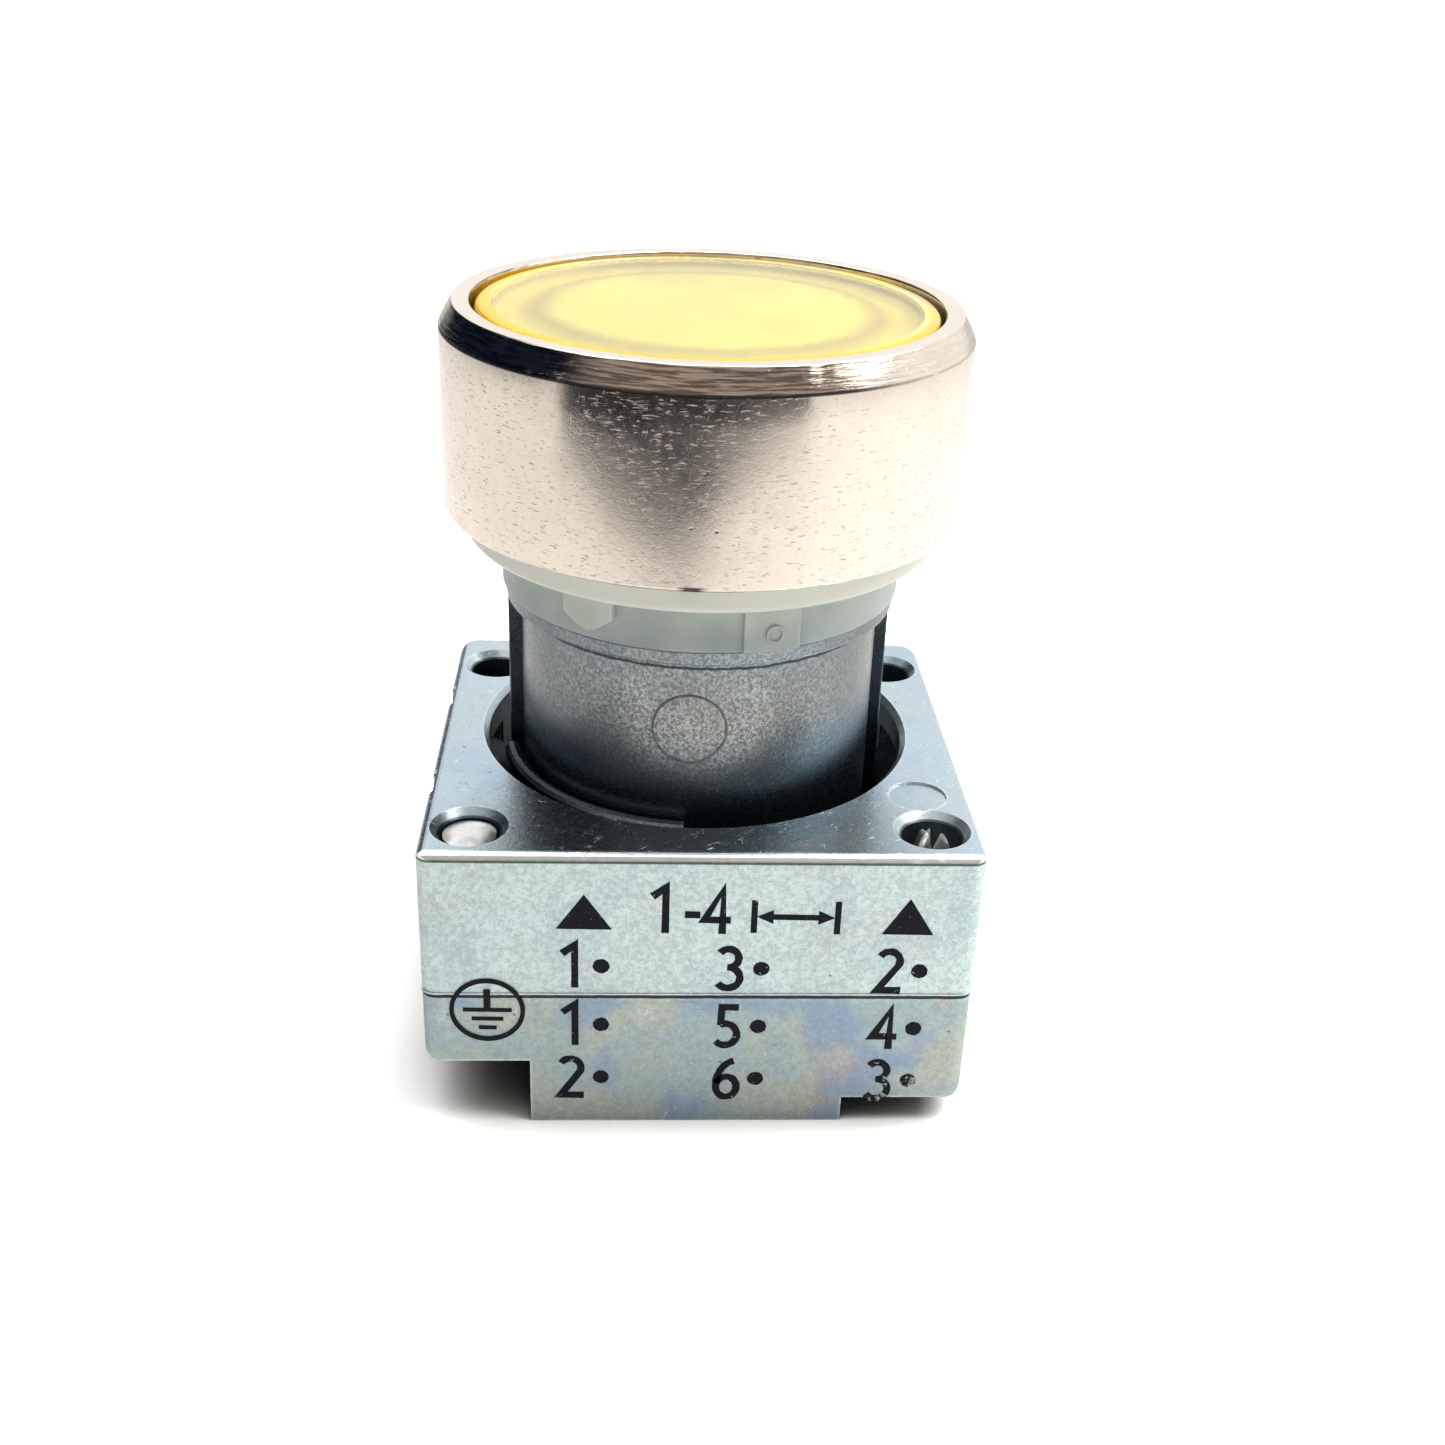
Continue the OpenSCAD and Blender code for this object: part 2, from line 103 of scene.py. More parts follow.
class Tree:
    """Short calls for building a node tree."""

    def __init__(self, tree: bpy.types.NodeTree) -> None:
        """Keeps the tree that the nodes go into."""
        self.tree = tree

    def add(self, kind: str, inputs: dict[str | int, object] | None = None,
            **settings: object) -> bpy.types.Node:
        """Adds a node.

        Args:
            kind: The node's Blender type.
            inputs: Input values or sockets, by name or place.
            settings: Properties of the node.

        Returns:
            The new node.
        """
        node = self.tree.nodes.new(kind)
        for name, value in settings.items():
            setattr(node, name, value)
        for name, value in (inputs or {}).items():
            self.put(node, name, value)
        return node

    def put(self, node: bpy.types.Node, name: str | int, value: object) -> None:
        """Sets an input of a node to a value, or links a socket to it."""
        if isinstance(value, Socket):
            self.tree.links.new(value, node.inputs[name])
        elif isinstance(value, tuple) and node.inputs[name].type == "RGBA":
            node.inputs[name].default_value = (*value, 1.0)
        else:
            node.inputs[name].default_value = value

    def math(self, operation: str, a: object, b: object = 0.0, clamp: bool = False) -> Socket:
        """The result of one Math node."""
        node = self.add("ShaderNodeMath", {0: a, 1: b}, operation=operation, use_clamp=clamp)
        return node.outputs[0]

    def vector(self, operation: str, a: object, b: object = (0.0, 0.0, 0.0)) -> Socket:
        """The vector that comes out of one Vector Math node."""
        node = self.add("ShaderNodeVectorMath", {0: a, 1: b}, operation=operation)
        return node.outputs["Value" if operation in ("DOT_PRODUCT", "LENGTH") else "Vector"]

    def mix(self, mask: object, low: object, high: object) -> Socket:
        """A colour between low and high, as the mask goes from 0 to 1."""
        node = self.add("ShaderNodeMix", data_type="RGBA", clamp_factor=True)
        self.put(node, 0, mask)
        self.put(node, 6, low)
        self.put(node, 7, high)
        return node.outputs[2]

    def tint(self, mask: Socket, share: float, low: object, high: object) -> Socket:
        """A colour that goes a share of the way from low to high where the mask is 1."""
        return self.mix(self.math("MULTIPLY", mask, share), low, high)

    def apart(self, a: object, b: object) -> Socket:
        """How far two values are apart."""
        return self.math("ABSOLUTE", self.math("SUBTRACT", a, b))

    def radius(self, x: Socket, y: Socket) -> Socket:
        """Length of the line (x, y)."""
        return self.math("SQRT", self.math("ADD", self.math("MULTIPLY", x, x), self.math("MULTIPLY", y, y)))

    def between(self, mask: object, low: float, high: float) -> Socket:
        """A value between low and high, as the mask goes from 0 to 1."""
        return self.window(mask, 0.0, 1.0, low, high)

    def window(self, value: object, start: float, end: float, low: float = 0.0, high: float = 1.0) -> Socket:
        """A value that goes from low to high as the given one goes from start to end."""
        node = self.add("ShaderNodeMapRange", {0: value, 1: start, 2: end, 3: low, 4: high}, clamp=True)
        return node.outputs[0]

    def noise(self, vector: object, scale: object, detail: float = 2.0, rough: float = 0.5) -> Socket:
        """The value of a noise texture."""
        node = self.add("ShaderNodeTexNoise", {"Vector": vector, "Scale": scale, "Detail": detail,
                                               "Roughness": rough})
        return node.outputs[0]

    def axes(self, vector: Socket) -> tuple[Socket, Socket, Socket]:
        """The x, y and z of a vector."""
        node = self.add("ShaderNodeSeparateXYZ", {0: vector})
        return node.outputs[0], node.outputs[1], node.outputs[2]

    def place(self) -> Socket:
        """The point on the piece at rest, in millimetres."""
        coordinates = self.add("ShaderNodeTexCoord").outputs["Object"]
        return self.vector("MULTIPLY", coordinates, (1 / MM, 1 / MM, 1 / MM))

    def upward(self) -> Socket:
        """How far the surface faces up, from -1 to 1."""
        return self.axes(self.add("ShaderNodeTexCoord").outputs["Normal"])[2]

    def effect(self, effect: "Effect", **values: object) -> bpy.types.Node:
        """Adds a shared effect with its own values.

        Args:
            effect: Which effect.
            values: The group's inputs, by name.

        Returns:
            The group node.
        """
        node = self.add("ShaderNodeGroup")
        node.node_tree = effect_group(effect)
        for name, value in values.items():
            self.put(node, name, value)
        return node

    def bump(self, height: Socket, depth: float, strength: float,
             under: Socket | None = None) -> Socket:
        """The normal that a height makes.

        Args:
            height: Height from 0 to 1.
            depth: Depth of the relief in millimetres.
            strength: Strength of the effect.
            under: Normal that the relief lies on.

        Returns:
            The normal.
        """
        node = self.add("ShaderNodeBump", {"Height": height, "Distance": depth * MM, "Strength": strength})
        if under is not None:
            self.put(node, "Normal", under)
        return node.outputs[0]


# --- Shared effects -------------------------------------------------------------------


class Effect(Enum):
    """Surface effects that several finishes share, with their group's name."""

    GRAIN = "cast_grain"
    PATCHES = "soft_patches"
    WEAR = "edge_wear"
    SCRATCHES = "fine_scratches"
    TURNING = "turning_marks"
    PITS = "small_pits"


def grain_group(tree: Tree, source: bpy.types.Node, sink: bpy.types.Node) -> None:
    """Fine two-tone speckle of a cast or blasted surface."""
    place = tree.place()
    coarse = tree.noise(place, source.outputs["Scale"], 3.0, 0.65)
    twice = tree.math("MULTIPLY", source.outputs["Scale"], 2.7)
    fine = tree.noise(place, twice, 2.0, 0.6)
    both = tree.math("ADD", tree.math("MULTIPLY", coarse, 0.6), tree.math("MULTIPLY", fine, 0.4))
    sharp = tree.math("MULTIPLY", tree.math("SUBTRACT", both, 0.5), source.outputs["Contrast"])
    tree.put(sink, "Mask", tree.math("ADD", sharp, 0.5, clamp=True))
    tree.put(sink, "Height", both)


def patches_group(tree: Tree, source: bpy.types.Node, sink: bpy.types.Node) -> None:
    """Large soft patches."""
    shift = tree.add("ShaderNodeCombineXYZ", {0: source.outputs["Seed"], 1: source.outputs["Seed"]})
    place = tree.vector("ADD", tree.place(), shift.outputs[0])
    value = tree.noise(place, source.outputs["Scale"], 3.0, 0.55)
    window = tree.add("ShaderNodeMapRange", {0: value, 1: source.outputs["Start"], 2: source.outputs["End"]},
                      clamp=True, interpolation_type="SMOOTHSTEP")
    tree.put(sink, "Mask", window.outputs[0])


def wear_group(tree: Tree, source: bpy.types.Node, sink: bpy.types.Node) -> None:
    """Edges and corners that rub bare."""
    radius = tree.math("MULTIPLY", source.outputs["Radius"], MM)
    rounded = tree.add("ShaderNodeBevel", {"Radius": radius}, samples=6)
    plain = tree.add("ShaderNodeNewGeometry").outputs["Normal"]
    likeness = tree.vector("DOT_PRODUCT", rounded.outputs[0], plain)
    sharp = tree.window(likeness, 0.995, 0.90)
    broken = tree.window(tree.noise(tree.place(), 1.9, 4.0, 0.7), 0.38, 0.6)
    rubbed_and_highlit = tree.math("MULTIPLY", sharp, tree.between(broken, 0.45, 1.0))
    tree.put(sink, "Mask", tree.math("MULTIPLY", rubbed_and_highlit, source.outputs["Amount"], clamp=True))


def scratches_group(tree: Tree, source: bpy.types.Node, sink: bpy.types.Node) -> None:
    """Short thin scratches in two directions."""
    total: object = 0.0
    for turn, stretch, seed in ((0.12, 14.0, 3.1), (1.25, 10.0, 7.7)):
        turned = tree.add("ShaderNodeMapping", {"Vector": tree.place(), "Location": (seed, seed, seed),
                                                "Rotation": (turn, turn * 0.7, turn)})
        thin = tree.vector("MULTIPLY", turned.outputs[0], (1.0, 1.0, stretch))
        line = tree.noise(thin, source.outputs["Scale"], 1.0, 0.4)
        ridge = tree.apart(line, 0.5)
        sparse = tree.window(tree.noise(tree.place(), 0.9 + 0.1 * seed, 2.0, 0.6), 0.55, 0.68)
        total = tree.math("ADD", total, tree.math("MULTIPLY", tree.window(ridge, 0.012, 0.0), sparse))
    tree.put(sink, "Mask", tree.math("MULTIPLY", total, source.outputs["Amount"], clamp=True))


def turning_group(tree: Tree, source: bpy.types.Node, sink: bpy.types.Node) -> None:
    """Marks that run round the Z axis, as a lathe leaves them."""
    x, y, z = tree.axes(tree.place())
    radius = tree.radius(x, y)
    angle = tree.math("ARCTAN2", y, x)
    across = tree.math("MULTIPLY", radius, source.outputs["Scale"])
    height = tree.math("MULTIPLY", z, source.outputs["Scale"])
    along = tree.math("MULTIPLY", angle, source.outputs["Breaks"])
    place = tree.add("ShaderNodeCombineXYZ", {0: across, 1: height, 2: along})
    tree.put(sink, "Mask", tree.noise(place.outputs[0], 1.0, 3.0, 0.6))


def pits_group(tree: Tree, source: bpy.types.Node, sink: bpy.types.Node) -> None:
    """Scattered small pits."""
    cells = tree.add("ShaderNodeTexVoronoi", {"Vector": tree.place(), "Scale": source.outputs["Scale"],
                                              "Randomness": 1.0})
    spot = tree.window(cells.outputs["Distance"], 0.085, 0.03)
    chosen = tree.axes(cells.outputs["Color"])[0]
    kept = tree.math("LESS_THAN", chosen, source.outputs["Share"])
    tree.put(sink, "Mask", tree.math("MULTIPLY", spot, kept, clamp=True))


@dataclass(frozen=True)
class EffectPlan:
    """How a shared effect is built."""

    build: Callable[[Tree, bpy.types.Node, bpy.types.Node], None]
    inputs: dict[str, float]
    outputs: dict[str, str]


FLOAT = "NodeSocketFloat"
EFFECT_PLANS: dict[Effect, EffectPlan] = {
    Effect.GRAIN: EffectPlan(grain_group, {"Scale": 3.0, "Contrast": 4.0}, {"Mask": FLOAT, "Height": FLOAT}),
    Effect.PATCHES: EffectPlan(patches_group, {"Scale": 0.2, "Start": 0.4, "End": 0.6, "Seed": 0.0},
                               {"Mask": FLOAT}),
    Effect.WEAR: EffectPlan(wear_group, {"Radius": 0.2, "Amount": 1.0}, {"Mask": FLOAT}),
    Effect.SCRATCHES: EffectPlan(scratches_group, {"Scale": 0.5, "Amount": 1.0}, {"Mask": FLOAT}),
    Effect.TURNING: EffectPlan(turning_group, {"Scale": 9.0, "Breaks": 3.0}, {"Mask": FLOAT}),
    Effect.PITS: EffectPlan(pits_group, {"Scale": 1.2, "Share": 0.3}, {"Mask": FLOAT}),
}


def effect_group(effect: Effect) -> bpy.types.NodeTree:
    """The node group of a shared effect, built the first time that it is asked for."""
    known = bpy.data.node_groups.get(effect.value)
    if known is not None:
        return known
    plan = EFFECT_PLANS[effect]
    group = bpy.data.node_groups.new(effect.value, "ShaderNodeTree")
    for name, value in plan.inputs.items():
        made = group.interface.new_socket(name=name, in_out="INPUT", socket_type=FLOAT)
        made.default_value = value
    for name, kind in plan.outputs.items():
        group.interface.new_socket(name=name, in_out="OUTPUT", socket_type=kind)
    tree = Tree(group)
    plan.build(tree, tree.add("NodeGroupInput"), tree.add("NodeGroupOutput"))
    return group


# --- Finishes -------------------------------------------------------------------------


@dataclass(frozen=True)
class Finish:
    """A surface finish.

    Attributes:
        name: The material's name.
        slot: The record's material slot; not used.
    """

    name: str
    slot: str

    def material(self) -> bpy.types.Material:
        """The finish's material, made the first time that it is asked for."""
        known = bpy.data.materials.get(f"finish_{self.name}")
        if known is not None:
            return known
        made = bpy.data.materials.new(f"finish_{self.name}")
        made.use_nodes = True
        made.node_tree.nodes.clear()
        tree = Tree(made.node_tree)
        shader = tree.add("ShaderNodeBsdfPrincipled")
        tree.add("ShaderNodeOutputMaterial", {"Surface": shader.outputs[0]})
        self.paint(tree, shader)
        return made

    def paint(self, tree: Tree, shader: bpy.types.Node) -> None:
        """Sets the shader's sockets."""
        raise NotImplementedError

    def dress(self, piece: Piece) -> None:
        """Gives a piece this finish."""
        piece.data.materials.clear()
        piece.data.materials.append(self.material())


@dataclass(frozen=True)
class NickelPlate(Finish):
    """Satin nickel with turning marks on the chamfer and light handling marks, with painted shade at the
    shoulder and at the nick, and painted dark reflections in the chamfer's streaks.
    """

    light: Colour = (0.88, 0.775, 0.67)
    dull: Colour = (0.72, 0.635, 0.56)
    bare: Colour = (0.93, 0.89, 0.84)
    tick: Colour = (0.35, 0.29, 0.25)
    pit: Colour = (0.22, 0.19, 0.18)
    # Dark colour of the painted reflection in the chamfer's turning streaks.
    streak_reflection: Colour = (0.20, 0.16, 0.14)
    # Near-black colour of the painted shade: the shoulder's shadow line and the nick.
    painted_shade: Colour = (0.04, 0.04, 0.05)
    roughness: float = 0.14
    shoulder_z: float = 11.13
    nick_x: float = -1.0
    nick_z: float = 1.84

    def nick(self, tree: Tree) -> Socket:
        """Mask of the painted shade for the nick in the ring's lower edge, at the front."""
        x, y, z = tree.axes(tree.place())
        beside = tree.apart(x, self.nick_x)
        low = tree.window(z, self.nick_z + 0.08, self.nick_z)
        nick = tree.math("MULTIPLY", tree.window(beside, 0.75, 0.3), low)
        return tree.math("MULTIPLY", nick, tree.window(y, -5.0, -9.0, 0.0, 0.95))

    def paint(self, tree: Tree, shader: bpy.types.Node) -> None:
        """Sets the shader's sockets."""
        patches = tree.effect(Effect.PATCHES, Scale=0.22, Start=0.42, End=0.62, Seed=4.0).outputs[0]
        grain = tree.effect(Effect.GRAIN, Scale=3.4, Contrast=2.6)
        x, _, z = tree.axes(tree.place())
        ticks = tree.effect(Effect.TURNING, Scale=7.5, Breaks=24.0).outputs[0]
        ticks = tree.math("MULTIPLY", tree.window(ticks, 0.62, 0.67), 0.6)
        edge = tree.apart(z, self.shoulder_z)
        # Painted shadow: a dark line along the shoulder between the ring's wall and its chamfer, fading out
        # towards the right.
        shadow = tree.math("MULTIPLY", tree.window(edge, 0.10, 0.05), tree.window(x, 10.5, 6.5, 0.0, 0.92))
        scratches = tree.effect(Effect.SCRATCHES, Scale=0.5, Amount=0.22).outputs[0]
        pits = tree.effect(Effect.PITS, Scale=0.8, Share=0.16).outputs[0]
        turning = tree.effect(Effect.TURNING, Scale=8.0, Breaks=6.5).outputs[0]
        wear = tree.effect(Effect.WEAR, Radius=0.12, Amount=0.8).outputs[0]
        upward = tree.upward()
        facing_up = tree.window(upward, 0.2, 0.4)
        # Painted dark reflection: strong at the left, weak at the right.
        front = tree.window(x, 9.5, 5.0, 0.12, 0.85)
        slope = tree.math("MULTIPLY", facing_up, tree.window(upward, 0.9, 0.7))
        colour = tree.tint(patches, 0.2, self.light, self.dull)
        ticks = tree.math("MULTIPLY", ticks, tree.math("SUBTRACT", 1.0, facing_up))
        colour = tree.mix(ticks, colour, self.tick)
        colour = tree.tint(grain.outputs["Mask"], 0.42, colour, self.dull)
        colour = tree.mix(scratches, colour, self.bare)
        colour = tree.mix(wear, colour, self.bare)
        colour = tree.tint(pits, 0.7, colour, self.pit)
        # Turning streaks on the chamfer, painted dark as a reflection that fades out towards the right.
        streaks = tree.math("MULTIPLY", tree.window(turning, 0.44, 0.56), slope)
        colour = tree.mix(tree.math("MULTIPLY", streaks, front), colour, self.streak_reflection)
        # Painted shade of the shoulder line and of the nick turns the colour near black.
        dark = tree.math("MAXIMUM", shadow, self.nick(tree))
        tree.put(shader, "Base Color", tree.mix(dark, colour, self.painted_shade))
        rough = tree.between(patches, self.roughness, self.roughness + 0.04)
        rough = tree.math("ADD", rough, tree.math("MULTIPLY", grain.outputs["Mask"], 0.05))
        tree.put(shader, "Roughness", tree.math("SUBTRACT", rough, tree.math("MULTIPLY", facing_up, 0.02)))
        tree.put(shader, "Metallic", 1.0)
        relief = tree.bump(grain.outputs["Height"], 0.007, 0.6)
        relief = tree.bump(tree.math("MULTIPLY", turning, facing_up), 0.022, 0.7, relief)
        marks = tree.math("ADD", tree.math("ADD", scratches, pits), ticks)
        tree.put(shader, "Normal", tree.bump(tree.math("SUBTRACT", 1.0, marks), 0.02, 0.6, relief))


@dataclass(frozen=True)
class MilkyRubber(Finish):
    """Milky translucent elastomer, thinner and greyer on the collar."""

    thick: Colour = (0.80, 0.83, 0.74)
    thin: Colour = (0.40, 0.47, 0.42)
    foot: Colour = (0.30, 0.37, 0.40)
    cloudy: Colour = (0.86, 0.87, 0.78)
    collar_r: float = 11.0
    collar_h: float = 2.9

    def paint(self, tree: Tree, shader: bpy.types.Node) -> None:
        """Sets the shader's sockets."""
        x, y, z = tree.axes(tree.place())
        radius = tree.radius(x, y)
        wide = tree.window(radius, self.collar_r, self.collar_r + 1.3)
        low = tree.window(z, -self.collar_h * 0.3, -self.collar_h)
        cloud = tree.effect(Effect.PATCHES, Scale=0.3, Start=0.3, End=0.7, Seed=9.0).outputs[0]
        grain = tree.effect(Effect.GRAIN, Scale=1.4, Contrast=1.6)
        collar = tree.mix(low, self.thin, self.foot)
        colour = tree.mix(wide, collar, self.thick)
        colour = tree.tint(cloud, 0.25, colour, self.cloudy)
        tree.put(shader, "Base Color", tree.tint(grain.outputs["Mask"], 0.08, colour, self.foot))
        tree.put(shader, "Roughness", tree.between(cloud, 0.34, 0.46))
        shader.inputs["Subsurface Weight"].default_value = 0.35
        shader.inputs["Subsurface Radius"].default_value = (1.0, 1.0, 0.9)
        shader.inputs["Subsurface Scale"].default_value = 0.8 * MM
        shader.inputs["Specular IOR Level"].default_value = 0.45
        tree.put(shader, "Normal", tree.bump(grain.outputs["Height"], 0.02, 0.35))


@dataclass(frozen=True)
class CastZinc(Finish):
    """Grey zinc casting with a fine speckle, and painted shade that darkens it towards its foot and towards
    its sides.
    """

    dark: Colour = (0.15, 0.165, 0.17)
    light: Colour = (0.52, 0.515, 0.48)
    tint: Colour = (0.25, 0.35, 0.42)
    # Colour of the painted shade at the foot.
    foot: Colour = (0.135, 0.19, 0.24)
    brown: Colour = (0.42, 0.36, 0.27)
    bare: Colour = (0.62, 0.62, 0.62)
    # Near-black colour of the painted shadow line under the top band.
    seam_and_shadow: Colour = (0.03, 0.04, 0.05)
    top_z: float = -2.9
    foot_z: float = -11.8
    band_h: float = 1.3
    grain: float = 5.2

    def band(self, tree: Tree, z: Socket) -> Socket:
        """Mask of the painted shadow: a dark uneven line under the small step of the casting's top band."""
        uneven = tree.math("SUBTRACT", tree.noise(tree.place(), 0.9, 3.0, 0.6), 0.5)
        height = tree.math("ADD", z, tree.math("MULTIPLY", uneven, 0.3))
        return tree.window(tree.apart(height, self.top_z - self.band_h), 0.11, 0.05, 0.0, 0.9)

    def paint(self, tree: Tree, shader: bpy.types.Node) -> None:
        """Sets the shader's sockets."""
        x, _, z = tree.axes(tree.place())
        grain = tree.effect(Effect.GRAIN, Scale=self.grain, Contrast=7.5)
        patches = tree.effect(Effect.PATCHES, Scale=0.28, Start=0.36, End=0.66, Seed=2.0).outputs[0]
        warm = tree.effect(Effect.PATCHES, Scale=0.2, Start=0.45, End=0.7, Seed=15.0).outputs[0]
        scratches = tree.effect(Effect.SCRATCHES, Scale=0.5, Amount=0.5).outputs[0]
        wear = tree.effect(Effect.WEAR, Radius=0.1, Amount=0.6).outputs[0]
        colour = tree.mix(grain.outputs["Mask"], self.dark, self.light)
        bluish = tree.math("MULTIPLY", tree.window(z, self.top_z - 5.0, self.top_z), 0.45)
        colour = tree.mix(bluish, colour, self.tint)
        colour = tree.tint(warm, 0.25, colour, self.brown)
        colour = tree.tint(patches, 0.3, colour, self.dark)
        # Painted shade: darker towards the sides, where the surface turns away.
        colour = tree.mix(tree.window(tree.math("ABSOLUTE", x), 3.0, 8.5, 0.0, 0.8), colour, self.dark)
        # Painted shade: darker towards the foot.
        fall = tree.window(z, self.foot_z + 4.6, self.foot_z)
        colour = tree.tint(fall, 0.9, colour, self.foot)
        colour = tree.mix(tree.math("ADD", scratches, wear, clamp=True), colour, self.bare)
        # Painted shadow line under the top band's step.
        colour = tree.mix(self.band(tree, z), colour, self.seam_and_shadow)
        tree.put(shader, "Base Color", colour)
        tree.put(shader, "Metallic", 1.0)
        tree.put(shader, "Roughness", tree.between(grain.outputs["Mask"], 0.36, 0.27))
        tree.put(shader, "Normal", tree.bump(grain.outputs["Height"], 0.025, 0.5))


@dataclass(frozen=True)
class Stain:
    """Soft stains of one colour on the passivated zinc.

    Attributes:
        colour: Their colour.
        seed: Where their pattern starts.
        scale: Their number on a millimetre.
        start: Level of the pattern where they start; a higher one leaves fewer.
        amount: How strong they are.
    """

    colour: Colour
    seed: float
    scale: float
    start: float
    amount: float


YELLOW_STAIN = Stain((0.66, 0.63, 0.40), seed=3.0, scale=0.16, start=0.46, amount=0.36)
BLUE_STAIN = Stain((0.24, 0.36, 0.60), seed=21.0, scale=0.15, start=0.50, amount=0.6)
ORANGE_STAIN = Stain((0.70, 0.47, 0.36), seed=33.0, scale=0.19, start=0.58, amount=0.4)
WHITE_STAIN = Stain((0.74, 0.78, 0.76), seed=47.0, scale=0.22, start=0.58, amount=0.35)


@dataclass(frozen=True)
class PassivatedZinc(Finish):
    """Passivated zinc casting: pale above the parting line, blotchy below it, with painted shade in its
    hollows and under it, a painted dark reflection in front of the bore and painted highlights on its edges.
    """

    pale: Colour = (0.70, 0.84, 0.83)
    below_line_tone: Colour = (0.37, 0.48, 0.50)
    # Colour of the painted dark reflection on the top face in front of the bore.
    shaded: Colour = (0.16, 0.22, 0.27)
    steel: Colour = (0.54, 0.66, 0.75)
    speck: Colour = (0.25, 0.29, 0.31)
    pit: Colour = (0.10, 0.11, 0.12)
    bare: Colour = (0.95, 0.96, 0.96)
    # Near-black colour of the parting line and of the painted shadow line under the top edge.
    seam_and_shadow: Colour = (0.012, 0.018, 0.022)
    # Near-black colour of the painted shade in the hollows and under the holder.
    deep: Colour = (0.022, 0.045, 0.055)
    stains: tuple[Stain, ...] = (YELLOW_STAIN, BLUE_STAIN, ORANGE_STAIN, WHITE_STAIN)
    line_z: float = -20.97
    top_z: float = -12.3
    bore_r: float = 12.0
    hole_at: tuple[float, float, float] = (12.1, -2.15, 10.05)
    hole_r: float = 1.6
    edge_y: float = -14.8

    def seam_and_shadow_lines(self, tree: Tree) -> Socket:
        """Mask of the dark parting line and of the painted shadow line under the top edge."""
        z = tree.axes(tree.place())[2]
        uneven = tree.math("SUBTRACT", tree.noise(tree.place(), 1.2, 3.0, 0.6), 0.5)
        height = tree.math("ADD", z, tree.math("MULTIPLY", uneven, 0.06))
        parting = tree.window(tree.apart(height, self.line_z), 0.15, 0.10)
        edge = tree.apart(z, self.top_z - 0.42)
        # Painted shadow: a thin dark line under the top edge.
        edge_shadow_line = tree.math("MULTIPLY", tree.window(edge, 0.09, 0.04), 0.8)
        return tree.math("MAXIMUM", tree.math("MULTIPLY", parting, 0.95), edge_shadow_line)

    def hollows(self, tree: Tree, up: Socket) -> Socket:
        """Mask of the painted shade on the walls inside the bore and the corner holes."""
        x, y, _ = tree.axes(tree.place())
        radius = tree.radius(x, y)
        bore = tree.window(radius, self.bore_r + 0.12, self.bore_r + 0.04)
        side = tree.math("SUBTRACT", tree.math("ABSOLUTE", x), self.hole_at[0])
        along = tree.apart(y, self.hole_at[1])
        along = tree.math("SUBTRACT", along, self.hole_at[2])
        away = tree.radius(side, along)
        hole = tree.window(away, self.hole_r + 0.12, self.hole_r + 0.04)
        wall = tree.math("SUBTRACT", 1.0, up)
        return tree.math("MULTIPLY", tree.math("MAXIMUM", bore, hole), tree.math("MULTIPLY", wall, 0.92))

    def front_edge(self, tree: Tree) -> tuple[Socket, Socket]:
        """Masks of the painted dark reflection on the top face in front of the bore, and of the painted
        highlight on the edge in front of that.
        """
        x, y, z = tree.axes(tree.place())
        middle = tree.window(tree.math("ABSOLUTE", x), 13.5, 7.5)
        mouth = tree.math("MULTIPLY", tree.window(y, -5.5, -11.5), middle)
        mouth = tree.math("MULTIPLY", mouth, tree.window(y, self.edge_y - 0.02, self.edge_y + 0.22))
        # Painted highlight along the rounded front top edge.
        edge_highlight = tree.window(y, self.edge_y + 0.2, self.edge_y - 0.05, 0.0, 0.95)
        return mouth, tree.math("MULTIPLY", edge_highlight, tree.window(z, self.top_z - 0.34, self.top_z - 0.26))

    def paint(self, tree: Tree, shader: bpy.types.Node) -> None:
        """Sets the shader's sockets."""
        z = tree.axes(tree.place())[2]
        up = tree.window(tree.upward(), 0.4, 0.8)
        below = tree.window(z, self.line_z + 0.4, self.line_z - 0.4)
        grain = tree.effect(Effect.GRAIN, Scale=2.6, Contrast=2.4)
        scratches = tree.effect(Effect.SCRATCHES, Scale=0.45, Amount=0.7).outputs[0]
        pits = tree.effect(Effect.PITS, Scale=0.9, Share=0.25).outputs[0]
        wear = tree.effect(Effect.WEAR, Radius=0.22, Amount=0.95).outputs[0]
        stained = tree.between(below, 0.28, 1.0)
        # Darker below the parting line.
        colour: object = tree.tint(below, 0.8, self.pale, self.below_line_tone)
        # The second mask is a painted highlight on the front top edge.
        mouth, rubbed_and_highlit = self.front_edge(tree)
        # Top faces are steel grey, with a painted dark reflection of the sleeve's foot in front of the bore.
        colour = tree.mix(up, colour, tree.tint(mouth, 0.75, self.steel, self.shaded))
        for stain in self.stains:
            patch = tree.effect(Effect.PATCHES, Scale=stain.scale, Start=stain.start, End=stain.start + 0.12,
                                Seed=stain.seed)
            mask = tree.math("MULTIPLY", patch.outputs[0], tree.math("MULTIPLY", stained, stain.amount))
            colour = tree.mix(mask, colour, stain.colour)
        speckle = tree.effect(Effect.GRAIN, Scale=3.2, Contrast=7.0).outputs["Mask"]
        fine = tree.math("MULTIPLY", speckle, tree.between(up, 0.34, 0.08))
        colour = tree.mix(tree.math("ADD", tree.math("MULTIPLY", grain.outputs["Mask"], 0.14), fine), colour,
                          self.speck)
        colour = tree.tint(pits, 0.8, colour, self.pit)
        # Bright edges: rubbed wear, and the painted highlight along the front top edge.
        bare = tree.math("MAXIMUM", tree.math("ADD", scratches, wear, clamp=True), rubbed_and_highlit)
        colour = tree.mix(bare, colour, self.bare)
        colour = tree.mix(self.seam_and_shadow_lines(tree), colour, self.seam_and_shadow)
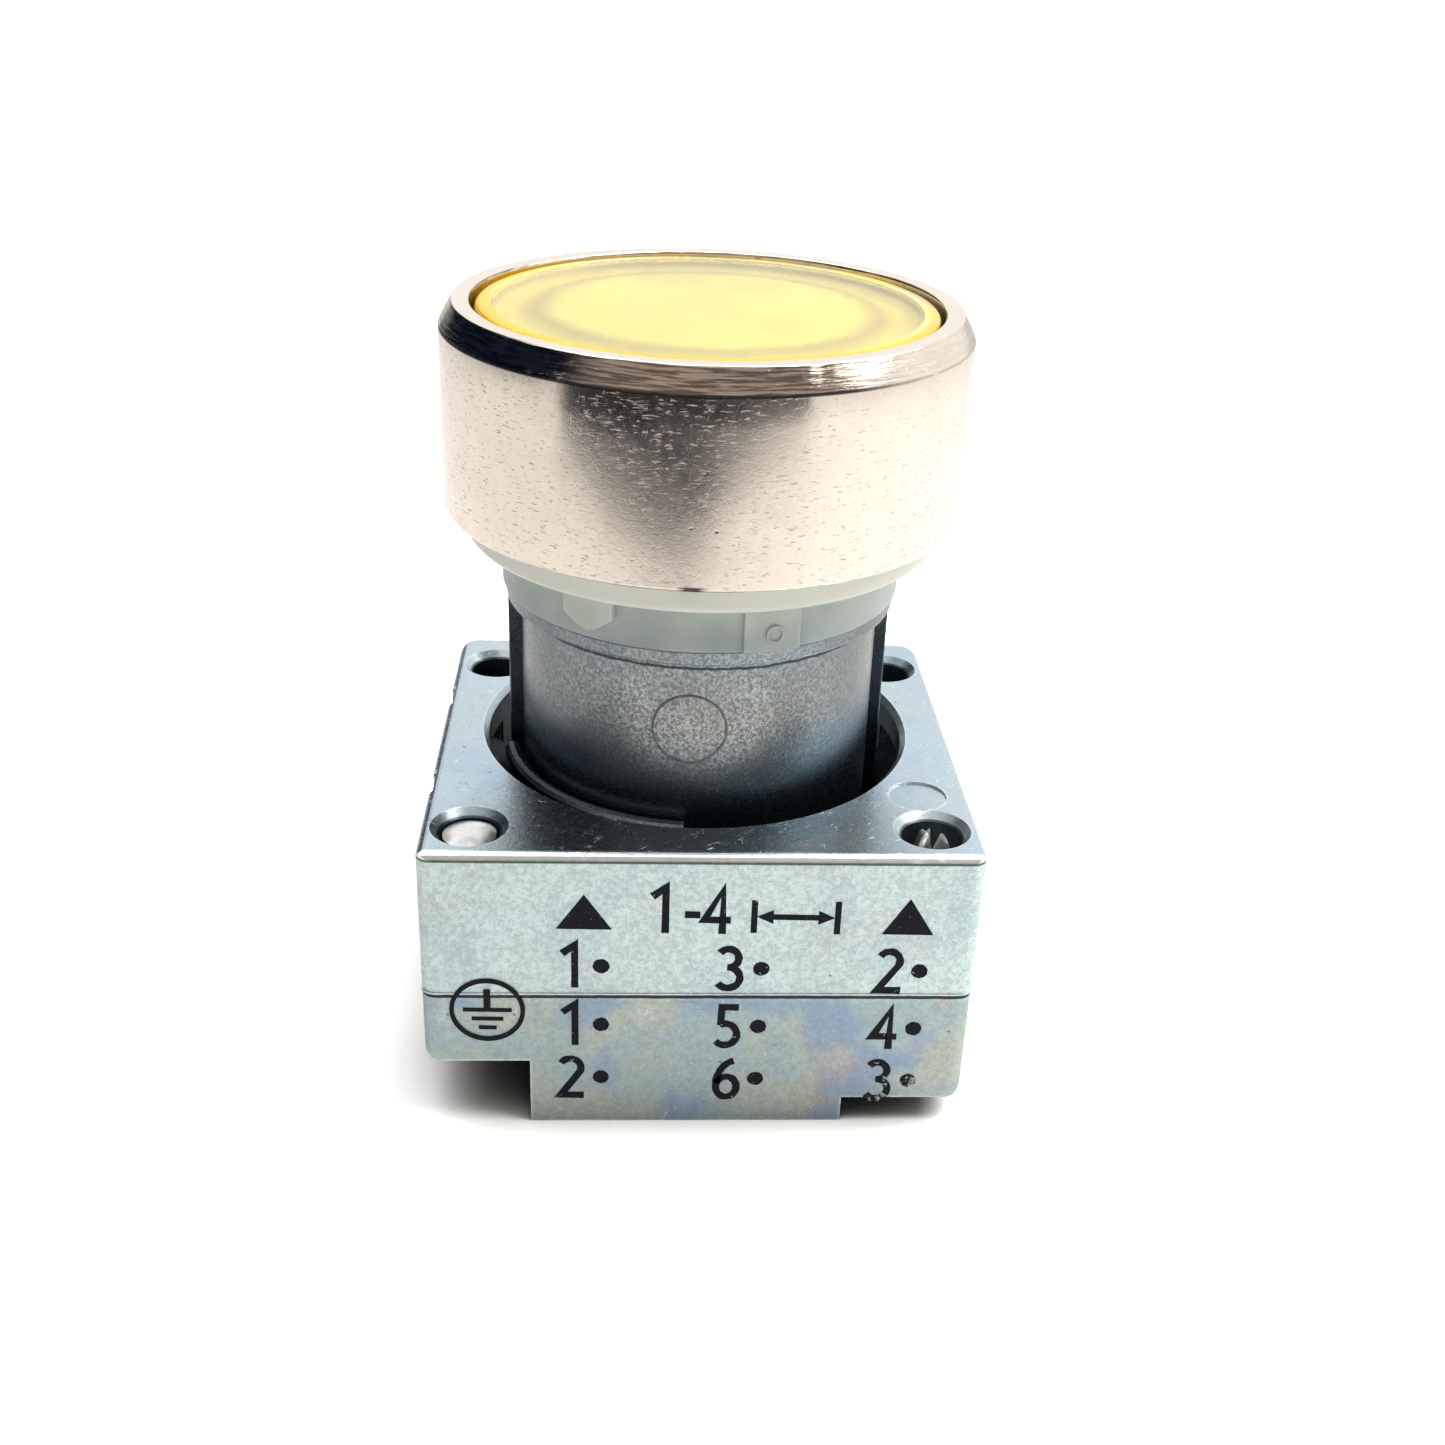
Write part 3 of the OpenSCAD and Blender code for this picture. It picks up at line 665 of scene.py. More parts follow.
        # Painted shade: near black on faces that look down, and on the walls of the bore and the holes.
        under = tree.window(tree.upward(), -0.5, -0.8)
        shade = tree.math("MAXIMUM", under, self.hollows(tree, up))
        tree.put(shader, "Base Color", tree.mix(shade, colour, self.deep))
        tree.put(shader, "Metallic", tree.between(tree.math("MAXIMUM", bare, up), 0.92, 1.0))
        grainy = tree.math("MULTIPLY", grain.outputs["Mask"], 0.08)
        tree.put(shader, "Roughness", tree.math("ADD", tree.between(up, 0.42, 0.24), grainy))
        relief = tree.bump(grain.outputs["Height"], 0.05, 0.4)
        marks = tree.math("SUBTRACT", 1.0, tree.math("ADD", scratches, pits))
        tree.put(shader, "Normal", tree.bump(marks, 0.03, 0.7, relief))


@dataclass(frozen=True)
class PlainMetal(Finish):
    """Small steel or brass part with turning marks and rubbed edges."""

    base: Colour = (0.62, 0.62, 0.61)
    dull: Colour = (0.36, 0.36, 0.36)
    rubbed_and_highlit: Colour = (0.9, 0.89, 0.86)
    roughness: float = 0.3

    def paint(self, tree: Tree, shader: bpy.types.Node) -> None:
        """Sets the shader's sockets."""
        patches = tree.effect(Effect.PATCHES, Scale=0.6, Start=0.4, End=0.66, Seed=6.0).outputs[0]
        grain = tree.effect(Effect.GRAIN, Scale=5.0, Contrast=2.5)
        wear = tree.effect(Effect.WEAR, Radius=0.08, Amount=0.7).outputs[0]
        colour = tree.tint(patches, 0.7, self.base, self.dull)
        colour = tree.tint(grain.outputs["Mask"], 0.2, colour, self.dull)
        tree.put(shader, "Base Color", tree.mix(wear, colour, self.rubbed_and_highlit))
        tree.put(shader, "Metallic", 1.0)
        tree.put(shader, "Roughness", tree.between(patches, self.roughness, self.roughness + 0.18))
        tree.put(shader, "Normal", tree.bump(grain.outputs["Height"], 0.02, 0.4))


@dataclass(frozen=True)
class MouldedPlastic(Finish):
    """Matt moulded plastic or rubber with a fine eroded texture."""

    base: Colour = (0.80, 0.77, 0.70)
    shade: Colour = (0.66, 0.62, 0.54)
    roughness: float = 0.48

    def paint(self, tree: Tree, shader: bpy.types.Node) -> None:
        """Sets the shader's sockets."""
        patches = tree.effect(Effect.PATCHES, Scale=0.25, Start=0.35, End=0.7, Seed=12.0).outputs[0]
        grain = tree.effect(Effect.GRAIN, Scale=4.0, Contrast=2.0)
        colour = tree.tint(patches, 0.5, self.base, self.shade)
        tree.put(shader, "Base Color", tree.tint(grain.outputs["Mask"], 0.12, colour, self.shade))
        rough = tree.between(grain.outputs["Mask"], self.roughness, self.roughness + 0.12)
        tree.put(shader, "Roughness", rough)
        tree.put(shader, "Normal", tree.bump(grain.outputs["Height"], 0.03, 0.4))


@dataclass(frozen=True)
class ClearYellow(Finish):
    """Clear yellow polished plastic with faint handling marks."""

    tint: Colour = (0.99, 0.93, 0.42)
    cloudy: Colour = (0.99, 0.95, 0.56)
    roughness: float = 0.07

    def paint(self, tree: Tree, shader: bpy.types.Node) -> None:
        """Sets the shader's sockets."""
        patches = tree.effect(Effect.PATCHES, Scale=0.15, Start=0.4, End=0.65, Seed=31.0).outputs[0]
        scratches = tree.effect(Effect.SCRATCHES, Scale=0.5, Amount=0.35).outputs[0]
        tree.put(shader, "Base Color", tree.tint(patches, 0.3, self.tint, self.cloudy))
        marks = tree.math("ADD", tree.math("MULTIPLY", patches, 0.05), tree.math("MULTIPLY", scratches, 0.3))
        tree.put(shader, "Roughness", tree.math("ADD", marks, self.roughness))
        shader.inputs["Transmission Weight"].default_value = 1.0
        shader.inputs["IOR"].default_value = 1.49
        tree.put(shader, "Normal", tree.bump(scratches, 0.01, 0.25))


@dataclass(frozen=True)
class DeepYellow(Finish):
    """Yellow of the lens's rim and skirt, deep at the left, with painted shade that turns it olive at the
    right and at the back, and a painted pale reflection along its inner edge at the front.
    """

    bright: Colour = (0.72, 0.43, 0.008)
    # Colour of the painted shade at the right and at the back.
    olive_shade: Colour = (0.40, 0.34, 0.17)
    pale: Colour = (0.95, 0.84, 0.33)
    bloom: Colour = (0.86, 0.62, 0.05)

    def paint(self, tree: Tree, shader: bpy.types.Node) -> None:
        """Sets the shader's sockets."""
        x, y, _ = tree.axes(tree.place())
        side = tree.math("ADD", tree.math("MULTIPLY", x, 0.5), tree.math("MULTIPLY", y, 0.85))
        away = tree.window(side, 1.0, 7.5)
        patches = tree.effect(Effect.PATCHES, Scale=0.3, Start=0.4, End=0.62, Seed=18.0).outputs[0]
        radius = tree.radius(x, y)
        inner_reflection = tree.math("MULTIPLY", tree.window(radius, 11.75, 11.35),
                          tree.window(side, -7.5, -2.0, 0.0, 0.55))
        # Painted shade towards the right and the back, and a painted pale reflection along the inner edge at
        # the front.
        colour = tree.mix(inner_reflection, tree.mix(away, self.bright, self.olive_shade), self.pale)
        tree.put(shader, "Base Color", tree.tint(patches, 0.3, colour, self.bloom))
        tree.put(shader, "Roughness", tree.between(patches, 0.2, 0.32))
        shader.inputs["Specular IOR Level"].default_value = 0.2
        shader.inputs["Subsurface Weight"].default_value = 0.15
        shader.inputs["Subsurface Scale"].default_value = 0.4 * MM
        shader.inputs["Subsurface Radius"].default_value = (1.0, 0.6, 0.05)


@dataclass(frozen=True)
class PaleDiffuser(Finish):
    """Milky disc under the lens: pale centre, deeper colour towards its rim, and a faint painted glow."""

    centre: Colour = (1.0, 0.95, 0.36)
    band: Colour = (0.50, 0.40, 0.15)
    rim: Colour = (0.98, 0.86, 0.28)
    band_r: float = 9.4
    glow: float = 0.2

    def paint(self, tree: Tree, shader: bpy.types.Node) -> None:
        """Sets the shader's sockets."""
        x, y, _ = tree.axes(tree.place())
        radius = tree.radius(x, y)
        wobble = tree.math("MULTIPLY", tree.noise(tree.place(), 0.35, 2.0, 0.5), 0.8)
        far = tree.math("ADD", radius, wobble)
        outside = tree.window(far, self.band_r + 0.1, self.band_r + 1.0)
        banded = tree.window(far, self.band_r - 1.1, self.band_r - 0.2)
        patches = tree.effect(Effect.PATCHES, Scale=0.2, Start=0.4, End=0.62, Seed=8.0).outputs[0]
        colour = tree.mix(outside, tree.mix(banded, self.centre, self.band), self.rim)
        colour = tree.tint(patches, 0.16, colour, self.rim)
        tree.put(shader, "Base Color", colour)
        # Painted glow: the disc gives off a little light of its own colour, though no lamp lights it from
        # inside.
        tree.put(shader, "Emission Color", colour)
        shader.inputs["Emission Strength"].default_value = self.glow
        tree.put(shader, "Roughness", tree.between(patches, 0.4, 0.55))
        shader.inputs["Subsurface Weight"].default_value = 0.3
        shader.inputs["Subsurface Scale"].default_value = 0.8 * MM
        shader.inputs["Subsurface Radius"].default_value = (1.0, 0.9, 0.5)


@dataclass(frozen=True)
class PrintInk(Finish):
    """Dark pad-printing ink, worn through in places and most at the lower right corner."""

    ink: Colour = (0.004, 0.005, 0.011)
    metal: Colour = (0.40, 0.46, 0.47)
    worn_at: tuple[float, float, float] = (13.0, -15.1, -28.0)

    def paint(self, tree: Tree, shader: bpy.types.Node) -> None:
        """Sets the shader's sockets."""
        corner = tree.vector("SUBTRACT", tree.place(), self.worn_at)
        near = tree.window(tree.vector("LENGTH", corner), 5.0, 0.5)
        grain = tree.effect(Effect.GRAIN, Scale=2.3, Contrast=3.0)
        level = tree.math("ADD", grain.outputs["Height"], tree.math("MULTIPLY", near, 0.16))
        worn = tree.window(level, 0.62, 0.66)
        tree.put(shader, "Base Color", tree.mix(worn, self.ink, self.metal))
        tree.put(shader, "Metallic", tree.math("MULTIPLY", worn, 0.6))
        tree.put(shader, "Roughness", tree.between(grain.outputs["Mask"], 0.5, 0.66))
        shader.inputs["Specular IOR Level"].default_value = 0.18
        tree.put(shader, "Normal", tree.bump(grain.outputs["Height"], 0.02, 0.5))


NICKEL = NickelPlate("satin_nickel", "nickel_ring")
GASKET = MilkyRubber("milky_rubber", "gasket_rubber")
SLEEVE = CastZinc("speckled_zinc", "sleeve_zinc")
# Guide ring: darker than the sleeve's zinc, with painted shade that turns it near black towards its foot,
# down in the bore.
GUIDE_RING = CastZinc("guide_ring_zinc", "ring_zinc", dark=(0.09, 0.11, 0.13), light=(0.26, 0.28, 0.29),
                      tint=(0.20, 0.25, 0.30), foot=(0.02, 0.025, 0.035), top_z=-12.0, foot_z=-20.5,
                      grain=3.0)
# Near-black zinc of the ejector mark's raised lip: painted shade standing for the dark groove of the mark.
SHADED_MARK = CastZinc("shaded_mark_zinc", "sleeve_zinc", dark=(0.02, 0.025, 0.03), light=(0.10, 0.10, 0.10),
                tint=(0.05, 0.06, 0.07))
# Dark zinc of the side ribs: a darker copy of the sleeve's zinc that paints the shade on their flanks.
SHADED_RIB = CastZinc("shaded_rib_zinc", "sleeve_zinc", dark=(0.035, 0.05, 0.06), light=(0.16, 0.17, 0.18),
               tint=(0.08, 0.12, 0.15))
HOLDER = PassivatedZinc("passivated_zinc", "holder_zinc")
SCREW_STEEL = PlainMetal("zinc_plated_steel", "zinc_steel", base=(0.88, 0.88, 0.86), dull=(0.50, 0.51, 0.51))
SPRING_STEEL = PlainMetal("drawn_steel", "spring_steel", base=(0.55, 0.55, 0.54), dull=(0.33, 0.33, 0.34))
BLUED_STEEL = PlainMetal("blued_steel", "spring_steel", base=(0.10, 0.12, 0.15), dull=(0.05, 0.06, 0.07))
BRASS = PlainMetal("turned_brass", "brass", base=(0.80, 0.60, 0.28), dull=(0.48, 0.33, 0.14))
IVORY = MouldedPlastic("moulded_ivory", "ivory_plastic")
BLACK_RUBBER = MouldedPlastic("black_rubber", "dark_rubber", base=(0.02, 0.02, 0.022),
                              shade=(0.045, 0.045, 0.05), roughness=0.55)
LENS = ClearYellow("clear_yellow", "yellow_lens")
LENS_SKIRT = DeepYellow("deep_yellow", "yellow_lens")
DIFFUSER = PaleDiffuser("milky_disc", "pale_diffuser")
INK = PrintInk("print_ink", "holder_zinc")


# --- Mesh work ------------------------------------------------------------------------


def mesh_piece(name: str, points: Sequence[Sequence[float]], faces: Sequence[Sequence[int]],
               sharp_deg: float = 35.0) -> Piece:
    """Makes a piece from points in millimetres.

    Args:
        name: The piece's name.
        points: Its vertices.
        faces: Vertex numbers of each face.
        sharp_deg: Edges that turn by more than this stay sharp.

    Returns:
        The new piece, with its normals outwards.
    """
    mesh = bpy.data.meshes.new(name)
    mesh.from_pydata([tuple(c * MM for c in p) for p in points], [], [tuple(f) for f in faces])
    piece = bpy.data.objects.new(name, mesh)
    bpy.context.scene.collection.objects.link(piece)
    tidy = bmesh.new()
    tidy.from_mesh(mesh)
    bmesh.ops.remove_doubles(tidy, verts=tidy.verts, dist=1e-7)
    bmesh.ops.recalc_face_normals(tidy, faces=tidy.faces)
    tidy.to_mesh(mesh)
    tidy.free()
    smooth(piece, sharp_deg)
    return piece


def smooth(piece: Piece, sharp_deg: float = 35.0) -> None:
    """Shades a piece smooth, with edges over the angle kept sharp."""
    piece.data.polygons.foreach_set("use_smooth", [True] * len(piece.data.polygons))
    piece.data.set_sharp_from_angle(angle=math.radians(sharp_deg))


def round_edges(piece: Piece, width: float, segments: int = 3, angle_deg: float = 25.0) -> None:
    """Rounds a piece's sharp edges.

    Args:
        piece: The piece.
        width: Width of the round in millimetres.
        segments: Faces across the round.
        angle_deg: Edges that turn by less stay as they are.
    """
    bevel = piece.modifiers.new("rounded_edges", "BEVEL")
    bevel.width = width * MM
    bevel.segments = segments
    bevel.limit_method = "ANGLE"
    bevel.angle_limit = math.radians(angle_deg)
    bevel.harden_normals = False


def lathe(name: str, outline: Outline, segments: int = 192, start_deg: float = 0.0,
          span_deg: float = 360.0) -> Piece:
    """Turns a closed outline about the Z axis.

    Args:
        name: The piece's name.
        outline: Its section as (radius, height), without a repeated last point.
        segments: Faces round the axis.
        start_deg: Where the turn starts, from +X towards +Y.
        span_deg: How far it goes.

    Returns:
        The new piece.
    """
    whole = span_deg >= 360.0
    rings = segments if whole else segments + 1
    count = len(outline)
    points = []
    for ring in range(rings):
        angle = math.radians(start_deg + span_deg * ring / segments)
        points += [(r * math.cos(angle), r * math.sin(angle), z) for r, z in outline]
    faces = []
    for ring in range(segments):
        following = (ring + 1) % rings
        for i in range(count):
            j = (i + 1) % count
            if outline[i][0] < 1e-6 and outline[j][0] < 1e-6:
                continue
            corners = [ring * count + i, following * count + i, following * count + j, ring * count + j]
            if outline[i][0] < 1e-6:
                corners.pop(1)
            elif outline[j][0] < 1e-6:
                corners.pop(2)
            faces.append(corners)
    if not whole:
        faces.append(list(range(count)))
        faces.append(list(range((rings - 1) * count, rings * count)))
    return mesh_piece(name, points, faces)


def arc(centre: tuple[float, float], radii: tuple[float, float], start_deg: float, end_deg: float,
        steps: int = 14) -> Outline:
    """Points of an elliptical arc.

    Args:
        centre: The ellipse's centre.
        radii: Its two radii.
        start_deg: First angle.
        end_deg: Last angle.
        steps: Number of steps between them.

    Returns:
        The points, ends included.
    """
    angles = [math.radians(start_deg + (end_deg - start_deg) * i / steps) for i in range(steps + 1)]
    return [(centre[0] + radii[0] * math.cos(a), centre[1] + radii[1] * math.sin(a)) for a in angles]


def slab(outline: Outline, lift: Callable[[float, float, float], Sequence[float]],
         thickness: float) -> tuple[list[Sequence[float]], list[list[int]]]:
    """Points and faces of a thin plate.

    Args:
        outline: The plate's closed outline.
        lift: Turns (u, v, height) into a point of the object.
        thickness: The plate's height.

    Returns:
        Points and faces, to be joined with others.
    """
    count = len(outline)
    points = [lift(u, v, 0.0) for u, v in outline] + [lift(u, v, thickness) for u, v in outline]
    faces = [list(range(count)), list(range(count, 2 * count))[::-1]]
    faces += [[i, (i + 1) % count, count + (i + 1) % count, count + i] for i in range(count)]
    return points, faces


def joined(name: str, parts: Sequence[tuple[list[Sequence[float]], list[list[int]]]],
           sharp_deg: float = 35.0) -> Piece:
    """One piece made of several point and face lists."""
    points: list[Sequence[float]] = []
    faces: list[list[int]] = []
    for part_points, part_faces in parts:
        offset = len(points)
        points += part_points
        faces += [[offset + i for i in face] for face in part_faces]
    return mesh_piece(name, points, faces, sharp_deg)


def stroke(line: Outline, width: float, ragged: random.Random | None = None) -> Outline:
    """The closed outline of a pen stroke along a line.

    Args:
        line: Points that the stroke follows.
        width: Its width.
        ragged: Source of small unevenness of the edge, if any.

    Returns:
        The outline, with square ends.
    """
    left: Outline = []
    right: Outline = []
    last = len(line) - 1
    for i, (x, y) in enumerate(line):
        before = Vector(line[i]) - Vector(line[max(i - 1, 0)])
        after = Vector(line[min(i + 1, last)]) - Vector(line[i])
        before = before.normalized() if before.length else after.normalized()
        after = after.normalized() if after.length else before
        along = (before + after).normalized()
        mitre = 1.0 / max(along.dot(before), 0.45)
        half = width / 2 * mitre
        if ragged is not None:
            half *= ragged.uniform(0.9, 1.08)
        left.append((x - along.y * half, y + along.x * half))
        right.append((x + along.y * half, y - along.x * half))
    return left + right[::-1]


def spaced(outline: Outline, step: float) -> Outline:
    """A closed outline with extra points, none further apart than a step."""
    result: Outline = []
    for (x0, y0), (x1, y1) in zip(outline, outline[1:] + outline[:1]):
        pieces = max(1, math.ceil(math.hypot(x1 - x0, y1 - y0) / step))
        result += [(x0 + (x1 - x0) * i / pieces, y0 + (y1 - y0) * i / pieces) for i in range(pieces)]
    return result


def ring_band(centre: tuple[float, float], radius: float, width: float,
              lift: Callable[[float, float, float], Sequence[float]], thickness: float,
              segments: int = 48) -> tuple[list[Sequence[float]], list[list[int]]]:
    """Points and faces of a thin flat ring on a surface.

    Args:
        centre: Its centre on the surface.
        radius: Middle radius.
        width: Width of the band.
        lift: Turns (u, v, height) into a point of the object.
        thickness: The band's height.
        segments: Faces round it.

    Returns:
        Points and faces, to be joined with others.
    """
    section = [(radius - width / 2, 0.0), (radius + width / 2, 0.0),
               (radius + width / 2, thickness), (radius - width / 2, thickness)]
    points = []
    for i in range(segments):
        angle = math.tau * i / segments
        points += [lift(centre[0] + r * math.cos(angle), centre[1] + r * math.sin(angle), h)
                   for r, h in section]
    faces = []
    for i in range(segments):
        j = (i + 1) % segments
        faces += [[4 * i + k, 4 * j + k, 4 * j + (k + 1) % 4, 4 * i + (k + 1) % 4] for k in range(4)]
    return points, faces


def dent(piece: Piece, centre: Sequence[float], radius: float, push: Sequence[float]) -> None:
    """Pushes a small area of a piece, fading out at a radius.

    Args:
        piece: The piece, whose mesh changes.
        centre: Middle of the dent, in millimetres.
        radius: How far it reaches.
        push: How far its middle moves.
    """
    middle = Vector(centre) * MM
    move = Vector(push) * MM
    for vertex in piece.data.vertices:
        share = 1.0 - (vertex.co - middle).length / (radius * MM)
        if share > 0:
            vertex.co += move * (share * share * (3 - 2 * share))


def settle(piece: Piece, body: Body, finish: Finish, *stands_for: str) -> Piece:
    """Dresses a piece, puts it on its body and hides the CAD nodes that it stands for."""
    finish.dress(piece)
    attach(piece, body.value)
    if stands_for:
        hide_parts(*stands_for)
    log.info("%s rides on %s, %d faces", piece.name, body.value, len(piece.data.polygons))
    return piece


def dress_node(node: str, finish: Finish, sharp_deg: float = 30.0) -> None:
    """Gives a CAD node its finish and smooth shading."""
    piece = frame["nodes"][node]
    smooth(piece, sharp_deg)
    finish.dress(piece)
    log.info("%s keeps its CAD shape", node)


# --- Head -----------------------------------------------------------------------------


@dataclass
class FrontRing:
    """Nickel ring around the lens.

    Attributes:
        outer: The ring's CAD span.
        lens_r: Radius of the lens inside it.
        neck_r: Radius of the sleeve's neck under it.
    """

    outer: Span
    lens_r: float
    neck_r: float
    lens_gap: float = 0.25
    floor_t: float = 1.2
    chamfer_h: float = 1.25
    chamfer_w: float = 0.7
    nick_x: float = 4.6
    nick_r: float = 0.55
    segments: int = 288

    def outline(self) -> Outline:
        """The ring's section."""
        r, z0, z1 = self.outer.high.x, self.outer.low.z, self.outer.high.z
        bore = self.lens_r + self.lens_gap
        hole = self.neck_r + 0.1
        shoulder = z1 - self.chamfer_h
        wall = [(r, z0 + 0.12 + (shoulder - z0 - 0.12) * i / 6) for i in range(7)]
        return [(hole, z0), (r - 0.12, z0), *wall, (r - self.chamfer_w / 2, z1 - self.chamfer_h / 2),
                (r - self.chamfer_w, z1), ((r - self.chamfer_w + bore) / 2, z1), (bore + 0.1, z1),
                (bore, z1 - 0.1), (bore, z0 + self.floor_t), (hole, z0 + self.floor_t)]

    def build(self) -> None:
        """Turns the ring, puts the nick in its upper edge and rounds its edges."""
        ring = lathe("front_ring_turned", self.outline(), self.segments)
        land_r = self.outer.high.x - self.chamfer_w
        nick = (self.nick_x, -math.sqrt(land_r ** 2 - self.nick_x ** 2), self.outer.high.z)
        dent(ring, nick, self.nick_r, (0.0, 0.07, -0.1))
        round_edges(ring, 0.07, 3, 20.0)
        settle(ring, Body.HEAD, NICKEL, "front_ring")


@dataclass
class Gasket:
    """Milky gasket between the front ring and the panel.

    Attributes:
        outer: The gasket's CAD span.
        neck_r: Radius of the sleeve's neck inside it.
    """

    outer: Span
    neck_r: float
    collar_r: float = 11.0
    tab_d: float = 0.5
    drop_x: float = -6.2
    drop_w: float = 2.8
    drop_h: float = 2.25
    plate_x: float = 3.3
    plate_w: float = 3.0
    mark_r: float = 0.42

    def flange(self) -> Piece:
        """Flange and collar in one turned ring."""
        r, z0, z1 = self.outer.high.x, self.outer.low.z, self.outer.high.z
        lip = [(r - 0.25, 0.0), (r, 0.25), (r, z1 - 0.1), (r - 0.1, z1)]
        return lathe("panel_gasket_ring",
                     [(self.neck_r + 0.05, z0), (self.collar_r - 0.08, z0), (self.collar_r, z0 + 0.1),
                      (self.collar_r, -0.12), (self.collar_r + 0.12, 0.0), *lip,
                      (self.neck_r + 0.05, z1)], 224)

    def on_collar(self, proud: float) -> Callable[[float, float, float], Sequence[float]]:
        """A function that wraps a flat plate round the front of the collar, sunk into it a little."""
        def lift(u: float, v: float, height: float) -> Sequence[float]:
            """Point at u round the collar, v up and height out of it."""
            angle = u / self.collar_r
            radius = self.collar_r - 0.15 + height * (proud + 0.15)
            return radius * math.sin(angle), -radius * math.cos(angle), v
        return lift

    def tabs(self) -> list[tuple[list[Sequence[float]], list[list[int]]]]:
        """The drop-shaped tab, the rectangular tab and the short rib beside them."""
        half = self.drop_w / 2
        drop = [(half, 0.05), (half, -1.45), (0.45 * half, -0.9 * self.drop_h), (0.05, -self.drop_h),
                (-0.5 * half, -0.88 * self.drop_h), (-half, -1.5), (-half, 0.05)]
        drop = [(self.drop_x + u, v) for u, v in drop]
        wide = self.plate_w / 2
        plate = [(self.plate_x + wide, 0.05), (self.plate_x + wide, self.outer.low.z + 0.04),
                 (self.plate_x - wide, self.outer.low.z + 0.04), (self.plate_x - wide, 0.05)]
        rib = [(8.6, 0.05), (8.6, -0.7), (8.42, -0.7), (8.42, 0.05)]
        return [slab(spaced(outline, 0.35), self.on_collar(proud), 1.0)
                for outline, proud in ((drop, self.tab_d), (plate, 0.22), (rib, 0.1))]

    def mark(self) -> tuple[list[Sequence[float]], list[list[int]]]:
        """A small raised circle on the rectangular tab."""
        centre = (self.plate_x + 0.1, -1.9)
        return ring_band(centre, self.mark_r, 0.12, self.on_collar(0.3), 1.0)

    def build(self) -> None:
        """Makes the gasket."""
        flange = self.flange()
        round_edges(flange, 0.05, 2)
        settle(flange, Body.HEAD, GASKET, "panel_gasket")
        tabs = joined("panel_gasket_tabs", [*self.tabs(), self.mark()])
        round_edges(tabs, 0.1, 3, 40.0)
        settle(tabs, Body.HEAD, GASKET)


@dataclass
class Sleeve:
    """Cast zinc sleeve with its band, side ribs and ejector mark.

    Attributes:
        outer: The sleeve's CAD span.
        shell_r: Radius of its shell.
        bore_r: Radius of its bore.
    """

    outer: Span
    shell_r: float
    bore_r: float
    band_top: float = -2.9
    band_h: float = 0.8
    mark_x: float = -0.75
    mark_z: float = -7.7
    mark_r: float = 1.95
    rib_deg: float = 88.0
    rib_span: float = 16.0
    rib_foot: float = 2.5

    def rib(self, side: int) -> Piece:
        """One side rib, on the left (-1) or on the right (+1)."""
        low = self.outer.low.z + self.rib_foot
        high = self.band_top - self.band_h / 2
        out = self.outer.high.x - 0.05
        outline = [(self.shell_r - 0.5, low), (out - 0.1, low), (out, low + 0.1), (out, high),
                   (self.shell_r - 0.5, high)]
        start = 270 + side * (self.rib_deg + self.rib_span / 2) - self.rib_span / 2
        name = "sleeve_rib_left" if side < 0 else "sleeve_rib_right"
        return lathe(name, outline, 24, start, self.rib_span)

    def mark(self) -> Piece:
        """Raised lip of the ejector mark at the front."""
        def lift(u: float, v: float, height: float) -> Sequence[float]:
            """Point at u round the shell, v up and height out of it."""
            angle = u / self.shell_r
            radius = self.shell_r - 0.05 + height * 0.09
            return radius * math.sin(angle), -radius * math.cos(angle), v
        band = ring_band((self.mark_x, self.mark_z), self.mark_r, 0.14, lift, 1.0, 72)
        return joined("sleeve_ejector_mark", [band])

    def build(self) -> None:
        """Makes the sleeve's shell, ribs and mark."""
        low, top = self.outer.low.z, self.outer.high.z
        band = self.outer.high.x
        foot = self.band_top - self.band_h
        shell = lathe("head_sleeve_shell",
                      [(self.bore_r, low), (self.shell_r - 0.1, low), (self.shell_r, low + 0.1),
                       *[(self.shell_r, low + 0.1 + (foot - low - 0.1) * i / 8) for i in range(1, 9)],
                       (band - 0.06, foot), (band, foot + 0.08), (band, self.band_top - 0.06),
                       (band - 0.06, self.band_top), (self.shell_r, self.band_top), (self.shell_r, top),
                       (self.bore_r, top)], 256)
        round_edges(shell, 0.05, 2)
        settle(shell, Body.HEAD, SLEEVE, "head_sleeve")
        for side in (-1, 1):
            rib = self.rib(side)
            round_edges(rib, 0.12, 3)
            settle(rib, Body.HEAD, SHADED_RIB)
        mark = self.mark()
        round_edges(mark, 0.03, 2, 40.0)
        settle(mark, Body.HEAD, SHADED_MARK)


